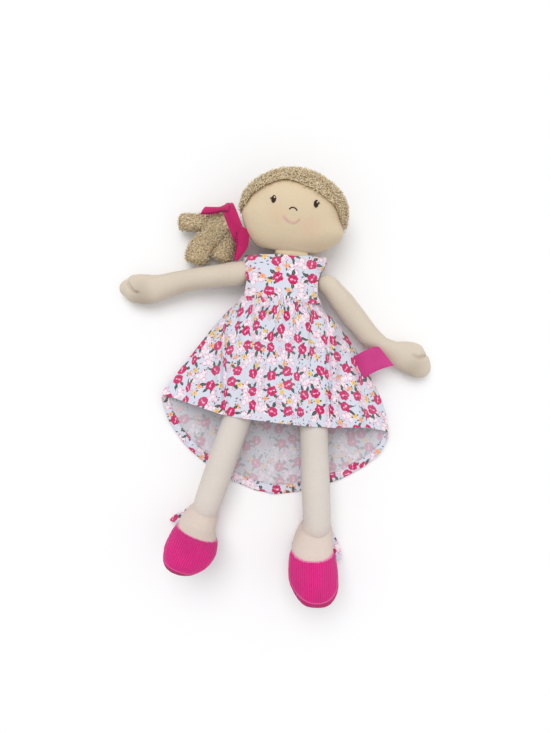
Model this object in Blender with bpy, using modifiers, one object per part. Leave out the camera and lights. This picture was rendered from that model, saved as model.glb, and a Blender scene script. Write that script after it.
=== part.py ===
"""A soft rag doll lying on its back, arms out and toes up, as sewn pieces that each move on their seams.

Metres, +Z up. The doll's head points to +Y, its face looks up, and the surface that it lies on is z = 0.
The origin is on that surface, under the waist seam. Right and left are the doll's own: its right is -X.
Each stuffed piece is one solid, its cloth and filling together. A limb ends in a round, closed root that
turns in a hollow of the body, and the sewn end of the limb is a small tab that stays between the two.
"""
import math

import bmesh
import bpy
from mathutils import Matrix, Vector

mm = 0.001
RIGHT = -1
LEFT = 1
SIDES = ((RIGHT, "right"), (LEFT, "left"))
UP = Vector((0, 0, 1))

# Clearances and cloth
gap = 0.3 * mm
sink = 0.5 * mm
overrun = 60 * mm
cloth = 1.2 * mm
ribbon_cloth = 1.3 * mm
label_cloth = 1.0 * mm

# Body
waist_seam_y = 2.5 * mm
torso_bottom = 82 * mm
torso_top = 37 * mm
hip_half = 41 * mm
torso_depth_half = 18.5 * mm
torso_height = 22.4 * mm

# Neck and head
neck_y = 38 * mm
neck_radius = 23 * mm
neck_depth_half = 12 * mm
nod_y = 10 * mm
nod_limits = (math.radians(-15), math.radians(20))
head_roll = math.radians(-5.2)
head_length = 71.5 * mm
head_half = 45.5 * mm
head_depth_half = 32 * mm
chin_drop = 4 * mm
hair_pile = 3.5 * mm
nape = 9 * mm

# Arms
shoulder_x = 42 * mm
shoulder_y = 17 * mm
arm_radius = 13.2 * mm
arm_length = 98 * mm
hand_length = 20 * mm
hand_depth_half = 10.3 * mm
thumb_radius = 6.8 * mm
thumb_length = 22 * mm
arm_heading = {RIGHT: math.radians(-7), LEFT: math.radians(-54)}
raise_limits = {RIGHT: (math.radians(-42), math.radians(45)), LEFT: (math.radians(-57), math.radians(30))}
tab_wall = 1.3 * mm
tab_angle = math.radians(20)

# Legs and feet
hip_x = 31.5 * mm
hip_y = 92.5 * mm
hip_tilt = math.radians(6.5)
leg_radius = 13.2 * mm
ankle_radius = 12.8 * mm
leg_length = 104.5 * mm
leg_spread = {RIGHT: math.radians(16), LEFT: math.radians(5)}
spread_limits = (math.radians(2), math.radians(45))
toe_out = {RIGHT: math.radians(3), LEFT: math.radians(-3)}
foot_point = {RIGHT: math.radians(37), LEFT: math.radians(54)}
ankle_limits = (0, math.radians(66))
foot_half = 21 * mm
foot_reach = 63 * mm
foot_heel = 16 * mm
foot_sole = 29 * mm
shoe_wall = 1.6 * mm
sole_rise = 4 * mm
shoe_mouth_half = 34 * mm
shoe_mouth_reach = 33.5 * mm
shoe_mouth_depth = 30 * mm
shoe_mouth_rise = 6 * mm

# Dress
waist_half = 36 * mm
bodice_half = 38.5 * mm
bodice_ease = 0.8 * mm
bodice_top = 38.5 * mm
armhole_ease = 1.5 * mm
neckline_half = 24.8 * mm
neckline_depth = 3.5 * mm
tape_width = 9 * mm
tape_wall = 0.8 * mm
tape_length = 21 * mm
sweep_right = 109 * mm
sweep_left = 105 * mm
sweep_half = {RIGHT: sweep_right, LEFT: sweep_left}
side_drop_right = 104 * mm
side_drop_left = 118 * mm
side_drop = {RIGHT: side_drop_right, LEFT: side_drop_left}
front_drop = 113 * mm
back_drop = 182 * mm
hem_rise = 38.5 * mm
fold_depth = 2.2 * mm
label_length = 29 * mm
label_width = 19 * mm
label_heading = math.radians(24)
label_rise_share = 0.52

# Ponytail and its ribbon, placed from the joint on which the head nods
tail_out = 7.2 * mm
tail_x = head_half + tail_out
tail_y = 16.3 * mm
tail_z = 7 * mm
tail_heading = math.radians(213.6)
bunch_half = 11.5 * mm
bunch_depth_half = 9.5 * mm
band_width = 10 * mm
band_wall = 2.2 * mm
strand_length = 40 * mm
strand_half = {"upper": 7.6 * mm, "middle": 9.6 * mm, "lower": 8.6 * mm}
strand_depth_half = 6.8 * mm
ribbon_length = 20 * mm
ribbon_width = {"short": 12 * mm, "long": 9.5 * mm}

# Small loops on the heels
loop_length = 21 * mm
loop_width = 7 * mm
loop_root_share = {RIGHT: 0.66, LEFT: 0.86}
loop_heading = {RIGHT: math.radians(-27), LEFT: math.radians(-62)}

skin = "skin_cloth"
plush = "hair_plush"
print_cloth = "dress_print"
pink_knit = "ribbon_knit"
cord_cloth = "shoe_corduroy"
label_satin = "label_satin"
tape_nylon = "closure_tape"

finishes = {
    skin: ((0.78, 0.68, 0.56), 0.92),
    plush: ((0.58, 0.47, 0.31), 0.95),
    print_cloth: ((0.80, 0.78, 0.85), 0.88),
    pink_knit: ((0.66, 0.05, 0.25), 0.85),
    cord_cloth: ((0.72, 0.05, 0.33), 0.9),
    label_satin: ((0.62, 0.08, 0.28), 0.5),
    tape_nylon: ((0.85, 0.85, 0.85), 0.7),
}

# Worked out from the sizes above
bodice_depth = 2 * torso_depth_half + 2 * cloth + 4 * gap + 2 * tape_wall + bodice_ease
bodice_middle = bodice_depth / 2
head_rise = head_depth_half + hair_pile + gap - sink - torso_height
wrist_height = hand_depth_half - sink
arm_droop = math.asin((torso_height - wrist_height) / (arm_length + hand_length / 2))
hollow_play = tab_wall + 2 * gap


def clear_scene():
    for obj in list(bpy.data.objects):
        bpy.data.objects.remove(obj)


def new_collection(name):
    made = bpy.data.collections.new(name)
    bpy.context.scene.collection.children.link(made)
    return made


clear_scene()
doll = new_collection("rag_doll")
cutters = new_collection("cutters")


def material(name):
    found = bpy.data.materials.get(name)
    if found:
        return found
    made = bpy.data.materials.new(name)
    made.use_nodes = True
    colour, roughness = finishes[name]
    shader = made.node_tree.nodes["Principled BSDF"]
    shader.inputs["Base Color"].default_value = (*colour, 1)
    shader.inputs["Roughness"].default_value = roughness
    shader.inputs["Metallic"].default_value = 0
    return made


def pivot(name, place, turn=None, parent=None):
    """An empty on a joint. place is in the parent's frame."""
    empty = bpy.data.objects.new(name, None)
    doll.objects.link(empty)
    empty.parent = parent
    empty.matrix_basis = Matrix.Translation(place) @ (turn or Matrix.Identity(4))
    return empty


def piece(name, bm, finish, parent=None):
    mesh = bpy.data.meshes.new(name)
    bmesh.ops.recalc_face_normals(bm, faces=bm.faces)
    bm.to_mesh(mesh)
    bm.free()
    mesh.shade_smooth()
    mesh.materials.append(material(finish))
    obj = bpy.data.objects.new(name, mesh)
    doll.objects.link(obj)
    obj.parent = parent
    return obj


def cutter(name, bm, parent=None):
    obj = piece(name, bm, skin, parent)
    doll.objects.unlink(obj)
    cutters.objects.link(obj)
    obj.hide_render = True
    obj.display_type = "WIRE"
    return obj


def smooth(obj, levels=1):
    modifier = obj.modifiers.new("soft", "SUBSURF")
    modifier.levels = levels
    modifier.render_levels = levels
    return obj


def thicken(obj, wall, offset):
    modifier = obj.modifiers.new("cloth", "SOLIDIFY")
    modifier.thickness = wall
    modifier.offset = offset
    return obj


def boolean(obj, other, operation="DIFFERENCE"):
    modifier = obj.modifiers.new(operation.lower(), "BOOLEAN")
    modifier.operation = operation
    modifier.object = other
    return obj


def box(low, high):
    bm = bmesh.new()
    size = Vector(high) - Vector(low)
    middle = (Vector(high) + Vector(low)) / 2
    bmesh.ops.create_cube(bm, size=1, matrix=Matrix.Translation(middle) @ Matrix.Diagonal((*size, 1)))
    return bm


def ellipsoid(radii, centre=(0, 0, 0), axis="Z", u=16, v=10, hollow=False):
    """axis is the line through the poles. radii are along X, Y and Z. A hollow has them inside its facets."""
    turns = {"X": Matrix.Rotation(math.pi / 2, 4, "Y"), "Y": Matrix.Rotation(math.pi / 2, 4, "X")}
    turn = turns.get(axis, Matrix.Identity(4))
    grow = 1 / (math.cos(math.pi / u) * math.cos(math.pi / v / 2)) if hollow else 1
    bm = bmesh.new()
    place = Matrix.Translation(centre) @ Matrix.Diagonal((*radii, 1)) @ turn @ Matrix.Scale(grow, 4)
    bmesh.ops.create_uvsphere(bm, u_segments=u, v_segments=v, radius=1, matrix=place)
    return bm


def swing_room(centre, radius, headings):
    """All that a round limb of this radius passes through between its headings from a joint: a hull of balls."""
    ball = ellipsoid((radius, radius, radius), u=18, v=10, hollow=True)
    hull = bmesh.new()
    for heading in [Vector((0, 0, 0)), *headings]:
        for vert in ball.verts:
            hull.verts.new(Vector(centre) + heading * 2 * overrun + vert.co)
    ball.free()
    made = bmesh.ops.convex_hull(hull, input=hull.verts)
    spare = {v for v in made["geom_interior"] + made["geom_unused"] if isinstance(v, bmesh.types.BMVert)}
    bmesh.ops.delete(hull, geom=list(spare), context="VERTS")
    return hull


def ring(bm, centre, across, up, sides, low_power=1.0, power=1.0):
    """One cross-section. A power below 1 squares it: low_power does so to its lower half alone."""
    points = []
    for k in range(sides):
        angle = 2 * math.pi * (k + 0.5) / sides
        run = math.cos(angle)
        rise = math.sin(angle)
        run = math.copysign(abs(run) ** power, run)
        rise = math.copysign(abs(rise) ** (power if rise > 0 else power * low_power), rise)
        points.append(bm.verts.new(centre + across * run + up * rise))
    return points


def skin_rings(bm, rings, closed=(True, True)):
    sides = len(rings[0])
    for a, b in zip(rings, rings[1:]):
        for k in range(sides):
            bm.faces.new((a[k], a[(k + 1) % sides], b[(k + 1) % sides], b[k]))
    if closed[0]:
        bm.faces.new(rings[0])
    if closed[1]:
        bm.faces.new(rings[-1])


def swell(sides):
    """How much a coarse ring is drawn larger, so that its subdivided form has the stated size."""
    return 1 / math.cos(math.pi / sides)


def cage(stations, sides, ease=0.0, low_power=1.0, power=1.0, closed=(True, True)):
    """A coarse form along +Y for Subdivision Surface: stations are (y, half width, low z, high z)."""
    first, last = stations[0][0], stations[-1][0]
    bm = bmesh.new()
    rings = []
    for y, half, low, high in stations:
        grown_y = y + ease * (2 * (y - first) / (last - first) - 1)
        across = Vector(((half + ease) * swell(sides), 0, 0))
        up = Vector((0, 0, ((high - low) / 2 + ease) * swell(sides)))
        rings.append(ring(bm, Vector((0, grown_y, (high + low) / 2)), across, up, sides, low_power, power))
    skin_rings(bm, rings, closed)
    return bm


def frames_along(line):
    """For each point of a line near the XY plane: the point, its level crosswise direction and its upward one."""
    found = []
    for k, point in enumerate(line):
        along = (line[min(k + 1, len(line) - 1)] - line[max(k - 1, 0)]).normalized()
        across = along.cross(UP).normalized()
        found.append((point, across, across.cross(along).normalized()))
    return found


cap_shares = ((0.38, 0.99), (0.82, 0.60))


def limb(line, halves, depths, sides, root=0.0, end=0.0):
    """A stuffed tube along a line. root and end are the radii of its round ends, centred on the end points."""
    bm = bmesh.new()
    grow = swell(sides)
    along = (line[1] - line[0]).normalized()
    frames = frames_along(line)
    rings = []
    for size_share, reach_share in (cap_shares if root else ()):
        _, across, up = frames[0]
        size = root * grow * size_share
        rings.append(ring(bm, line[0] - along * root * reach_share, across * size, up * size, sides))
    for (point, across, up), half, depth in zip(frames, halves, depths):
        rings.append(ring(bm, point, across * half * grow, up * depth * grow, sides))
    along = (line[-1] - line[-2]).normalized()
    for size_share, reach_share in (reversed(cap_shares) if end else ()):
        _, across, up = frames[-1]
        size = end * grow * size_share
        rings.append(ring(bm, line[-1] + along * end * reach_share, across * size, up * size, sides))
    skin_rings(bm, rings)
    return bm


def strip(line, across, widths, wall):
    """A flat strip of cloth along a line, as a thin closed solid. across is the direction of its width."""
    bm = bmesh.new()
    sections = []
    for k, point in enumerate(line):
        along = (line[min(k + 1, len(line) - 1)] - line[max(k - 1, 0)]).normalized()
        sideways = (across - along * across.dot(along)).normalized()
        half = sideways * widths[k] / 2
        thick = along.cross(sideways) * wall / 2
        corners = (point - half - thick, point + half - thick, point + half + thick, point - half + thick)
        sections.append([bm.verts.new(corner) for corner in corners])
    skin_rings(bm, sections)
    return bm


def along_curve(points, steps):
    """Points spaced on a smooth curve through the given ones."""
    ends = [2 * points[0] - points[1], *points, 2 * points[-1] - points[-2]]
    found = []
    for k in range(steps + 1):
        place = k / steps * (len(points) - 1)
        n = min(int(place), len(points) - 2)
        t = place - n
        a, b, c, d = ends[n:n + 4]
        bend = 2 * a - 5 * b + 4 * c - d
        found.append(0.5 * (2 * b + (c - a) * t + bend * t * t + (3 * b - a - 3 * c + d) * t ** 3))
    return found


def between(shares, t):
    """The value at t of a table of (t, value) pairs, in straight steps."""
    for (t0, v0), (t1, v1) in zip(shares, shares[1:]):
        if t <= t1:
            return v0 + (v1 - v0) * (t - t0) / (t1 - t0)
    return shares[-1][1]


def flat_heading(angle):
    return Vector((math.cos(angle), math.sin(angle), 0))


# The surface that the doll lies on presses flat whatever rests on it.
reach = hip_y + leg_length + foot_reach + overrun
floor_block = cutter("floor_block", box((-reach, -reach, -overrun), (reach, reach, 0)))


def shoulder_place(side):
    return Vector((side * shoulder_x, shoulder_y, torso_height))


def hip_place(side):
    """The hips lie a little turned, with the right one nearer the head."""
    return Vector((side * hip_x, -hip_y - side * hip_x * math.tan(hip_tilt), torso_height))


def arm_headings(side, forward):
    """The outermost ways in which an arm can point, level and, if forward, also straight ahead of the body."""
    level = [Vector((side * math.cos(a), math.sin(a), 0)) for a in (*raise_limits[side], 0)]
    ahead = [Vector((0, math.sin(a), math.cos(a))) for a in (*raise_limits[side], 0)]
    return level + ahead if forward else level


def leg_headings(side):
    level = [Vector((side * math.sin(a), -math.cos(a), 0)) for a in spread_limits]
    ahead = [Vector((side * math.sin(a), 0, math.cos(a))) for a in spread_limits]
    return level + ahead


def sewn_tab(name, centre, radius, towards):
    """The gathered end of a limb, where it is stitched to the body: a shallow cap of cloth round the root."""
    inner = radius + gap
    outer = inner + tab_wall
    sides = 12
    bm = bmesh.new()
    shells = []
    for size in (outer, inner):
        for share in (0.45, 1.0):
            angle = tab_angle * share
            spread = size * math.sin(angle)
            place = Vector((0, 0, size * math.cos(angle)))
            shells.append(ring(bm, place, Vector((spread, 0, 0)), Vector((0, spread, 0)), sides))
    skin_rings(bm, [shells[0], shells[1], shells[3], shells[2]])
    turn = UP.rotation_difference(towards).to_matrix().to_4x4()
    bmesh.ops.transform(bm, matrix=Matrix.Translation(centre) @ turn, verts=bm.verts)
    return piece(name, bm, skin)


def build_torso():
    shares = [
        (0.00, 0.66, 0.10), (0.06, 0.86, 0.44), (0.17, 1.00, 0.80), (0.36, 0.97, 1.00), (0.56, 0.83, 1.00),
        (0.74, 0.77, 0.97), (0.87, 0.71, 0.86), (0.96, 0.54, 0.66), (1.00, 0.36, 0.40),
    ]
    length = torso_bottom + torso_top
    stations = []
    for t, w, d in shares:
        depth = d * torso_depth_half
        stations.append((-torso_bottom + t * length, w * hip_half, torso_height - depth, torso_height + depth))
    bm = cage(stations, 12)
    for vert in bm.verts:
        vert.co.y -= vert.co.x * math.tan(hip_tilt) * max(0, -vert.co.y / torso_bottom)
    torso = smooth(piece("torso", bm, skin))
    hollow = (neck_radius + gap, neck_radius + gap, neck_depth_half + gap)
    boolean(torso, cutter("neck_hollow", ellipsoid(hollow, (0, neck_y, torso_height), hollow=True)))
    for side, word in SIDES:
        arm_room = swing_room(shoulder_place(side), arm_radius + hollow_play, arm_headings(side, True))
        boolean(torso, cutter("arm_room_" + word, arm_room))
        leg_room = swing_room(hip_place(side), leg_radius + hollow_play, leg_headings(side))
        boolean(torso, cutter("leg_room_" + word, leg_room))


def build_neck():
    """Round in plan where it tilts on the body, and round about X where the head nods on it."""
    base = pivot("neck_tilt", (0, neck_y, torso_height), Matrix.Rotation(head_roll, 4, "Z"))
    neck = piece("neck", ellipsoid((neck_radius, neck_radius, neck_depth_half)), skin, base)
    top = ellipsoid((neck_radius, neck_depth_half, neck_depth_half), (0, nod_y, 0), "X")
    boolean(neck, cutter("neck_top", top, base), "UNION")
    return base


def head_cage(ease=0.0):
    shares = [
        (0.00, 0.42, 0.44), (0.08, 0.66, 0.66), (0.22, 0.87, 0.85), (0.39, 0.99, 0.97), (0.56, 1.00, 1.00),
        (0.72, 0.91, 0.95), (0.85, 0.71, 0.80), (0.94, 0.46, 0.55), (1.00, 0.20, 0.24),
    ]
    rise_shares = [(0.0, 0.3), (0.22, 0.8), (0.45, 1.0), (1.0, 1.0)]
    stations = []
    for t, w, d in shares:
        middle = head_rise * between(rise_shares, t)
        depth = d * head_depth_half
        stations.append((-chin_drop + t * head_length, w * head_half, middle - depth, middle + depth))
    return cage(stations, 12, ease)


def build_head(neck_base):
    nod = pivot("head_nod", (0, nod_y, 0), parent=neck_base)
    head = smooth(piece("head", head_cage(), skin, nod))
    top_hollow = (neck_radius + gap, neck_depth_half + gap, neck_depth_half + gap)
    boolean(head, cutter("nod_hollow", ellipsoid(top_hollow, axis="X", hollow=True), nod))
    base_hollow = (neck_radius + gap, neck_radius + gap, neck_depth_half + gap)
    for count, angle in enumerate((nod_limits[0], 0, nod_limits[1])):
        bm = ellipsoid(base_hollow, (0, -nod_y, 0), hollow=True)
        bmesh.ops.transform(bm, matrix=Matrix.Rotation(-angle, 4, "X"), verts=bm.verts)
        boolean(head, cutter("neck_room_%d" % count, bm, nod))
    return nod


def outline_block(outline, low, high):
    """An outline in the XY plane, pulled up into a block."""
    bm = bmesh.new()
    face = bm.faces.new([bm.verts.new((x, y, low)) for x, y in outline])
    pulled = bmesh.ops.extrude_face_region(bm, geom=[face])["geom"]
    bmesh.ops.translate(bm, verts=[v for v in pulled if isinstance(v, bmesh.types.BMVert)], vec=(0, 0, high - low))
    return bm


def build_hair_cap(nod):
    """The plush back of the head with its fringe: a shell over the head, open over the face and the neck."""
    cap = smooth(piece("hair_cap", head_cage(hair_pile + gap), plush, nod))
    boolean(cap, smooth(cutter("head_room", head_cage(gap), nod)))
    hairline_shares = [
        (-1.20, 0.40), (-1.05, 0.415), (-0.92, 0.467), (-0.84, 0.562), (-0.71, 0.648), (-0.53, 0.738), (-0.33, 0.804),
        (-0.19, 0.817), (-0.01, 0.784), (0.15, 0.735), (0.32, 0.713), (0.46, 0.657), (0.59, 0.611), (0.75, 0.56),
        (0.86, 0.473), (0.95, 0.391), (1.20, 0.34), (1.20, -0.5), (-1.20, -0.5),
    ]
    outline = [(x * head_half, -chin_drop + y * head_length) for x, y in hairline_shares]
    face_side = head_rise - 0.12 * head_depth_half
    boolean(cap, cutter("face_opening", outline_block(outline, face_side, 3 * head_depth_half), nod))
    low = (-2 * head_half, -overrun, -2 * head_depth_half)
    boolean(cap, cutter("nape_opening", box(low, (2 * head_half, nape, 3 * head_depth_half)), nod))
    boolean(cap, floor_block)
    return smooth(cutter("hair_room", head_cage(hair_pile + 2 * gap), nod))


bunch_shares = [(-1.2, 0.80), (-0.6, 0.92), (0.0, 0.86), (0.6, 0.95), (1.1, 1.12), (1.7, 0.95), (2.0, 0.55)]
droop_shares = [(-1.2, 0.0), (0.6, 0.0), (2.0, 0.6)]


def bunch_cage(ease=0.0):
    stations = []
    for t, w in bunch_shares:
        low = -bunch_depth_half * (w + between(droop_shares, t))
        high = bunch_depth_half * (w - between(droop_shares, t))
        stations.append((t * band_width, w * bunch_half, low, high))
    return cage(stations, 8, ease)


def bunch_turn():
    return Matrix.Rotation(tail_heading - math.pi / 2, 4, "Z")


def tail_place(place):
    """A place in the bunch's own frame, moved to the frame of the joint on which the head nods."""
    return Vector((-tail_x, tail_y, tail_z)) + bunch_turn() @ Vector(place)


def build_ponytail(nod, hair_room):
    """A bunch that comes out of the hair through its ribbon, and three loose plush ends."""
    frame = pivot("ponytail", tail_place((0, 0, 0)), bunch_turn(), nod)
    root = smooth(piece("ponytail_root", bunch_cage(), plush, frame))
    boolean(root, hair_room)
    inner = (bunch_half + gap, bunch_depth_half + gap)
    outer = (inner[0] + band_wall, inner[1] + band_wall)
    bands = []
    for size, length in ((outer, band_width), (inner, 4 * band_width)):
        bm = bmesh.new()
        turn = Matrix.Diagonal((size[0], 1, size[1], 1)) @ Matrix.Rotation(math.pi / 2, 4, "X")
        bmesh.ops.create_cone(
            bm, cap_ends=True, segments=24, radius1=1, radius2=1, depth=length, matrix=turn
        )
        bands.append(bm)
    band = piece("ribbon_band", bands[0], pink_knit, frame)
    boolean(band, cutter("band_bore", bands[1], frame))
    boolean(band, hair_room)
    return frame


def build_strands(nod, bunch):
    """Each starts at the open end of the bunch, which the root shares measure, and droops to the ground."""
    root_shares = {"upper": (0.33, 1.35, -1.16), "middle": (-0.03, 1.62, -1.26), "lower": (-0.42, 1.32, -1.37)}
    route_shares = {
        "upper": [(0, 0, 0), (-0.35, 0.075, -0.075), (-0.65, 0.04, -0.15), (-0.95, 0.01, -0.20)],
        "middle": [
            (0, 0, 0), (-0.325, -0.20, -0.10), (-0.525, -0.375, -0.175), (-0.60, -0.60, -0.20), (-0.55, -0.775, -0.20),
        ],
        "lower": [(0, 0, 0), (-0.075, -0.30, -0.10), (-0.04, -0.45, -0.15), (0.025, -0.59, -0.175)],
    }
    width_shares = [(0.0, 0.36), (0.2, 0.74), (0.5, 1.0), (0.8, 0.92), (1.0, 0.5)]
    for word, (x, y, z) in root_shares.items():
        start = tail_place((x * bunch_half, y * band_width, z * bunch_depth_half))
        lift = pivot("strand_lift_" + word, start, parent=nod)
        line = along_curve([Vector(shares) * strand_length for shares in route_shares[word]], 6)
        sizes = [between(width_shares, k / 6) for k in range(7)]
        bm = limb(line, [strand_half[word] * s for s in sizes], [strand_depth_half * s for s in sizes], 6)
        strand = smooth(piece("hair_strand_" + word, bm, plush, lift))
        boolean(strand, smooth(cutter("root_room_" + word, bunch_cage(gap), bunch)))


def build_ribbon_tails(nod):
    """The two ends of the ribbon, each from its side of the band."""
    root_shares = {"short": (0.35, 0.27, 0.11), "long": (0.12, 0.06, 0.11)}
    route_shares = {
        "short": [(0, 0, 0), (-0.40, -0.10, -0.20), (-0.95, -0.35, -0.325)],
        "long": [(0, 0, 0), (0.165, -0.37, -0.15), (0.09, -0.62, -0.25), (-0.06, -0.895, -0.30)],
    }
    end_shares = (0.6, 0.85, 1.0, 1.0, 0.95, 0.75, 0.3)
    band_outer = bunch_half + gap + band_wall
    for word, side, across in (("short", 1, Vector((0.2, 1, 0))), ("long", -1, Vector((1, 0.1, 0)))):
        x, y, z = root_shares[word]
        out = side * (band_outer + x * ribbon_width[word])
        start = tail_place((out, y * band_width, z * bunch_depth_half))
        flap = pivot("ribbon_flap_" + word, start, parent=nod)
        line = along_curve([Vector(shares) * ribbon_length for shares in route_shares[word]], 6)
        widths = [ribbon_width[word] * share for share in end_shares]
        piece("ribbon_tail_" + word, strip(line, across, widths, ribbon_cloth), pink_knit, flap)


def arm_line(side):
    """The arm's middle line in its own level frame, which leaves the shoulder along X."""
    heading_shares = {
        RIGHT: [(0, 0), (0.45, -3), (0.66, -8), (0.80, 0), (0.92, 12), (1.0, 14)],
        LEFT: [(0, 0), (0.10, 6), (0.30, 14), (0.55, 17), (0.72, 24), (0.86, 36), (1.0, 40)],
    }[side]
    steps = 10
    total = arm_length + hand_length
    points = [Vector((0, 0, 0))]
    for k in range(steps):
        heading = math.radians(between(heading_shares, (k + 0.5) / steps))
        points.append(points[-1] + Vector((side * math.cos(heading), math.sin(heading), 0)) * total / steps)
    return points


def build_arm(side, word):
    swing = pivot("arm_swing_" + word, shoulder_place(side))
    turn = Matrix.Rotation(side * arm_heading[side], 4, "Z") @ Matrix.Rotation(side * arm_droop, 4, "Y")
    raised = pivot("arm_raise_" + word, (0, 0, 0), turn, swing)
    line = arm_line(side)
    width_shares = [(0, 1.0), (0.3, 0.97), (0.6, 0.90), (0.74, 0.86), (0.84, 0.98), (0.92, 1.0), (0.97, 0.8), (1.0, 0.48)]
    depth_shares = [(0, 1.0), (0.3, 0.95), (0.7, 0.84), (0.85, 0.78), (0.94, 0.72), (1.0, 0.40)]
    count = len(line) - 1
    halves = [arm_radius * between(width_shares, k / count) for k in range(count + 1)]
    depths = [arm_radius * between(depth_shares, k / count) for k in range(count + 1)]
    arm = smooth(piece("arm_" + word, limb(line, halves, depths, 8, root=arm_radius), skin, raised))
    boolean(arm, smooth(build_thumb(side, word, line, raised)), "UNION")
    boolean(arm, floor_block)
    sewn_tab("shoulder_tab_" + word, shoulder_place(side), arm_radius, Vector((-side, 0, 0)))


def build_thumb(side, word, line, parent):
    """A rounded lobe along the upper edge of the hand."""
    count = len(line) - 1
    heel = line[round(0.7 * count)]
    ball = line[round(0.9 * count)]
    along = (ball - heel).normalized()
    edge = UP.cross(along) * side
    root = heel + edge * arm_radius * 0.42 + UP * hand_depth_half * 0.3
    size_shares = [(0.0, 0.45), (0.2, 0.85), (0.5, 1.0), (0.8, 0.9), (1.0, 0.5)]
    steps = 5
    stations = [root + along * thumb_length * k / steps for k in range(steps + 1)]
    sizes = [thumb_radius * between(size_shares, k / steps) for k in range(steps + 1)]
    return cutter("thumb_" + word, limb(stations, sizes, sizes, 8), parent)


def build_leg(side, word):
    hip = pivot("leg_swing_" + word, hip_place(side))
    rise = math.asin((ankle_height(side) - torso_height) / leg_length)
    turn = Matrix.Rotation(side * leg_spread[side], 4, "Z") @ Matrix.Rotation(-rise, 4, "X")
    spread = pivot("leg_spread_" + word, (0, 0, 0), turn, hip)
    shares = [(0, 1.0), (0.15, 1.0), (0.4, 0.98), (0.62, 1.01), (0.8, 0.98), (1.0, ankle_radius / leg_radius)]
    steps = 7
    line = [Vector((0, -leg_length * k / steps, 0)) for k in range(steps + 1)]
    sizes = [leg_radius * between(shares, k / steps) for k in range(steps + 1)]
    smooth(piece("leg_" + word, limb(line, sizes, sizes, 8, root=leg_radius, end=ankle_radius), skin, spread))
    sewn_tab("hip_tab_" + word, hip_place(side), leg_radius, Vector((0, 1, 0)))
    return pivot("ankle_" + word, line[-1], Matrix.Rotation(side * toe_out[side], 4, "Z"), spread)


def foot_stations():
    length = foot_heel + foot_reach
    shares = [
        (0.00, 0.38, 0.80, 0.42), (0.05, 0.60, 0.95, 0.22), (0.16, 0.74, 1.00, 0.00), (0.30, 0.82, 1.03, -0.06),
        (0.46, 0.92, 1.03, 0.12), (0.64, 1.02, 1.03, 0.27), (0.80, 0.98, 1.01, 0.38), (0.92, 0.72, 0.95, 0.50),
        (1.00, 0.34, 0.84, 0.64),
    ]
    stations = []
    for t, w, low, high in shares:
        stations.append((-foot_heel + t * length, w * foot_half, -low * foot_sole, -high * foot_sole))
    return stations


def foot_cage(ease=0.0):
    return cage(foot_stations(), 8, ease, low_power=0.7)


def ankle_height(side):
    """How high the ankle is when the heel of the shoe rests on the ground."""
    drops = [-y * math.cos(foot_point[side]) - low * math.sin(foot_point[side]) for y, _, low, _ in foot_stations()]
    return max(drops) + gap + shoe_wall - 2 * sink


def build_foot(side, word, ankle):
    """The foot and its shoe, in a frame with +Y to the toes and -Z to the sole."""
    point = foot_point[side]
    turn = Matrix.Rotation(math.pi, 4, "Z") @ Matrix.Rotation(math.pi / 2 - point, 4, "X")
    frame = pivot("foot_frame_" + word, (0, 0, 0), turn, ankle)
    leans = [ankle_limits[0], sum(ankle_limits) / 2, ankle_limits[1]]
    headings = [Vector((0, -math.sin(a), math.cos(a))) for a in leans]
    leg_room = cutter("ankle_room_" + word, swing_room((0, 0, 0), ankle_radius + gap, headings), frame)
    foot = smooth(piece("foot_" + word, foot_cage(), skin, frame))
    boolean(foot, leg_room)
    foot_room = smooth(cutter("foot_room_" + word, foot_cage(gap), frame))
    sole_top = -foot_sole + sole_rise
    low = (-overrun, -overrun, -overrun)
    below = cutter("below_welt_" + word, box(low, (overrun, 2 * overrun, sole_top + gap)), frame)
    above = cutter("above_welt_" + word, box((-overrun, -overrun, sole_top), (overrun, 2 * overrun, overrun)), frame)
    upper = smooth(piece("shoe_upper_" + word, foot_cage(gap + shoe_wall), cord_cloth, frame))
    boolean(upper, foot_room)
    boolean(upper, below)
    boolean(upper, leg_room)
    mouth_size = (shoe_mouth_half, shoe_mouth_reach, shoe_mouth_depth)
    mouth = ellipsoid(mouth_size, (0, shoe_mouth_reach * 0.065, shoe_mouth_rise), "Y", u=20, v=12)
    boolean(upper, cutter("shoe_mouth_" + word, mouth, frame))
    sole = smooth(piece("shoe_sole_" + word, foot_cage(gap + shoe_wall), cord_cloth, frame))
    boolean(sole, foot_room)
    boolean(sole, above)
    boolean(sole, floor_block)
    boolean(upper, floor_block)


def build_heel_loop(side, word, ankle):
    """A folded loop of the dress print, sewn in beside the heel."""
    heading = loop_heading[side]
    out = Vector((side * math.cos(heading), math.sin(heading), 0))
    start = Vector((side * foot_half * loop_root_share[side], -foot_heel * 0.1, -foot_sole * 0.68))
    flop = pivot("loop_flop_" + word, start, parent=ankle)
    line = [out * loop_length * k / 4 for k in range(5)]
    widths = [loop_width * s for s in (0.9, 1.0, 1.0, 0.95, 0.5)]
    piece("heel_loop_" + word, strip(line, out.cross(UP), widths, 2 * cloth), print_cloth, flop)


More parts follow.
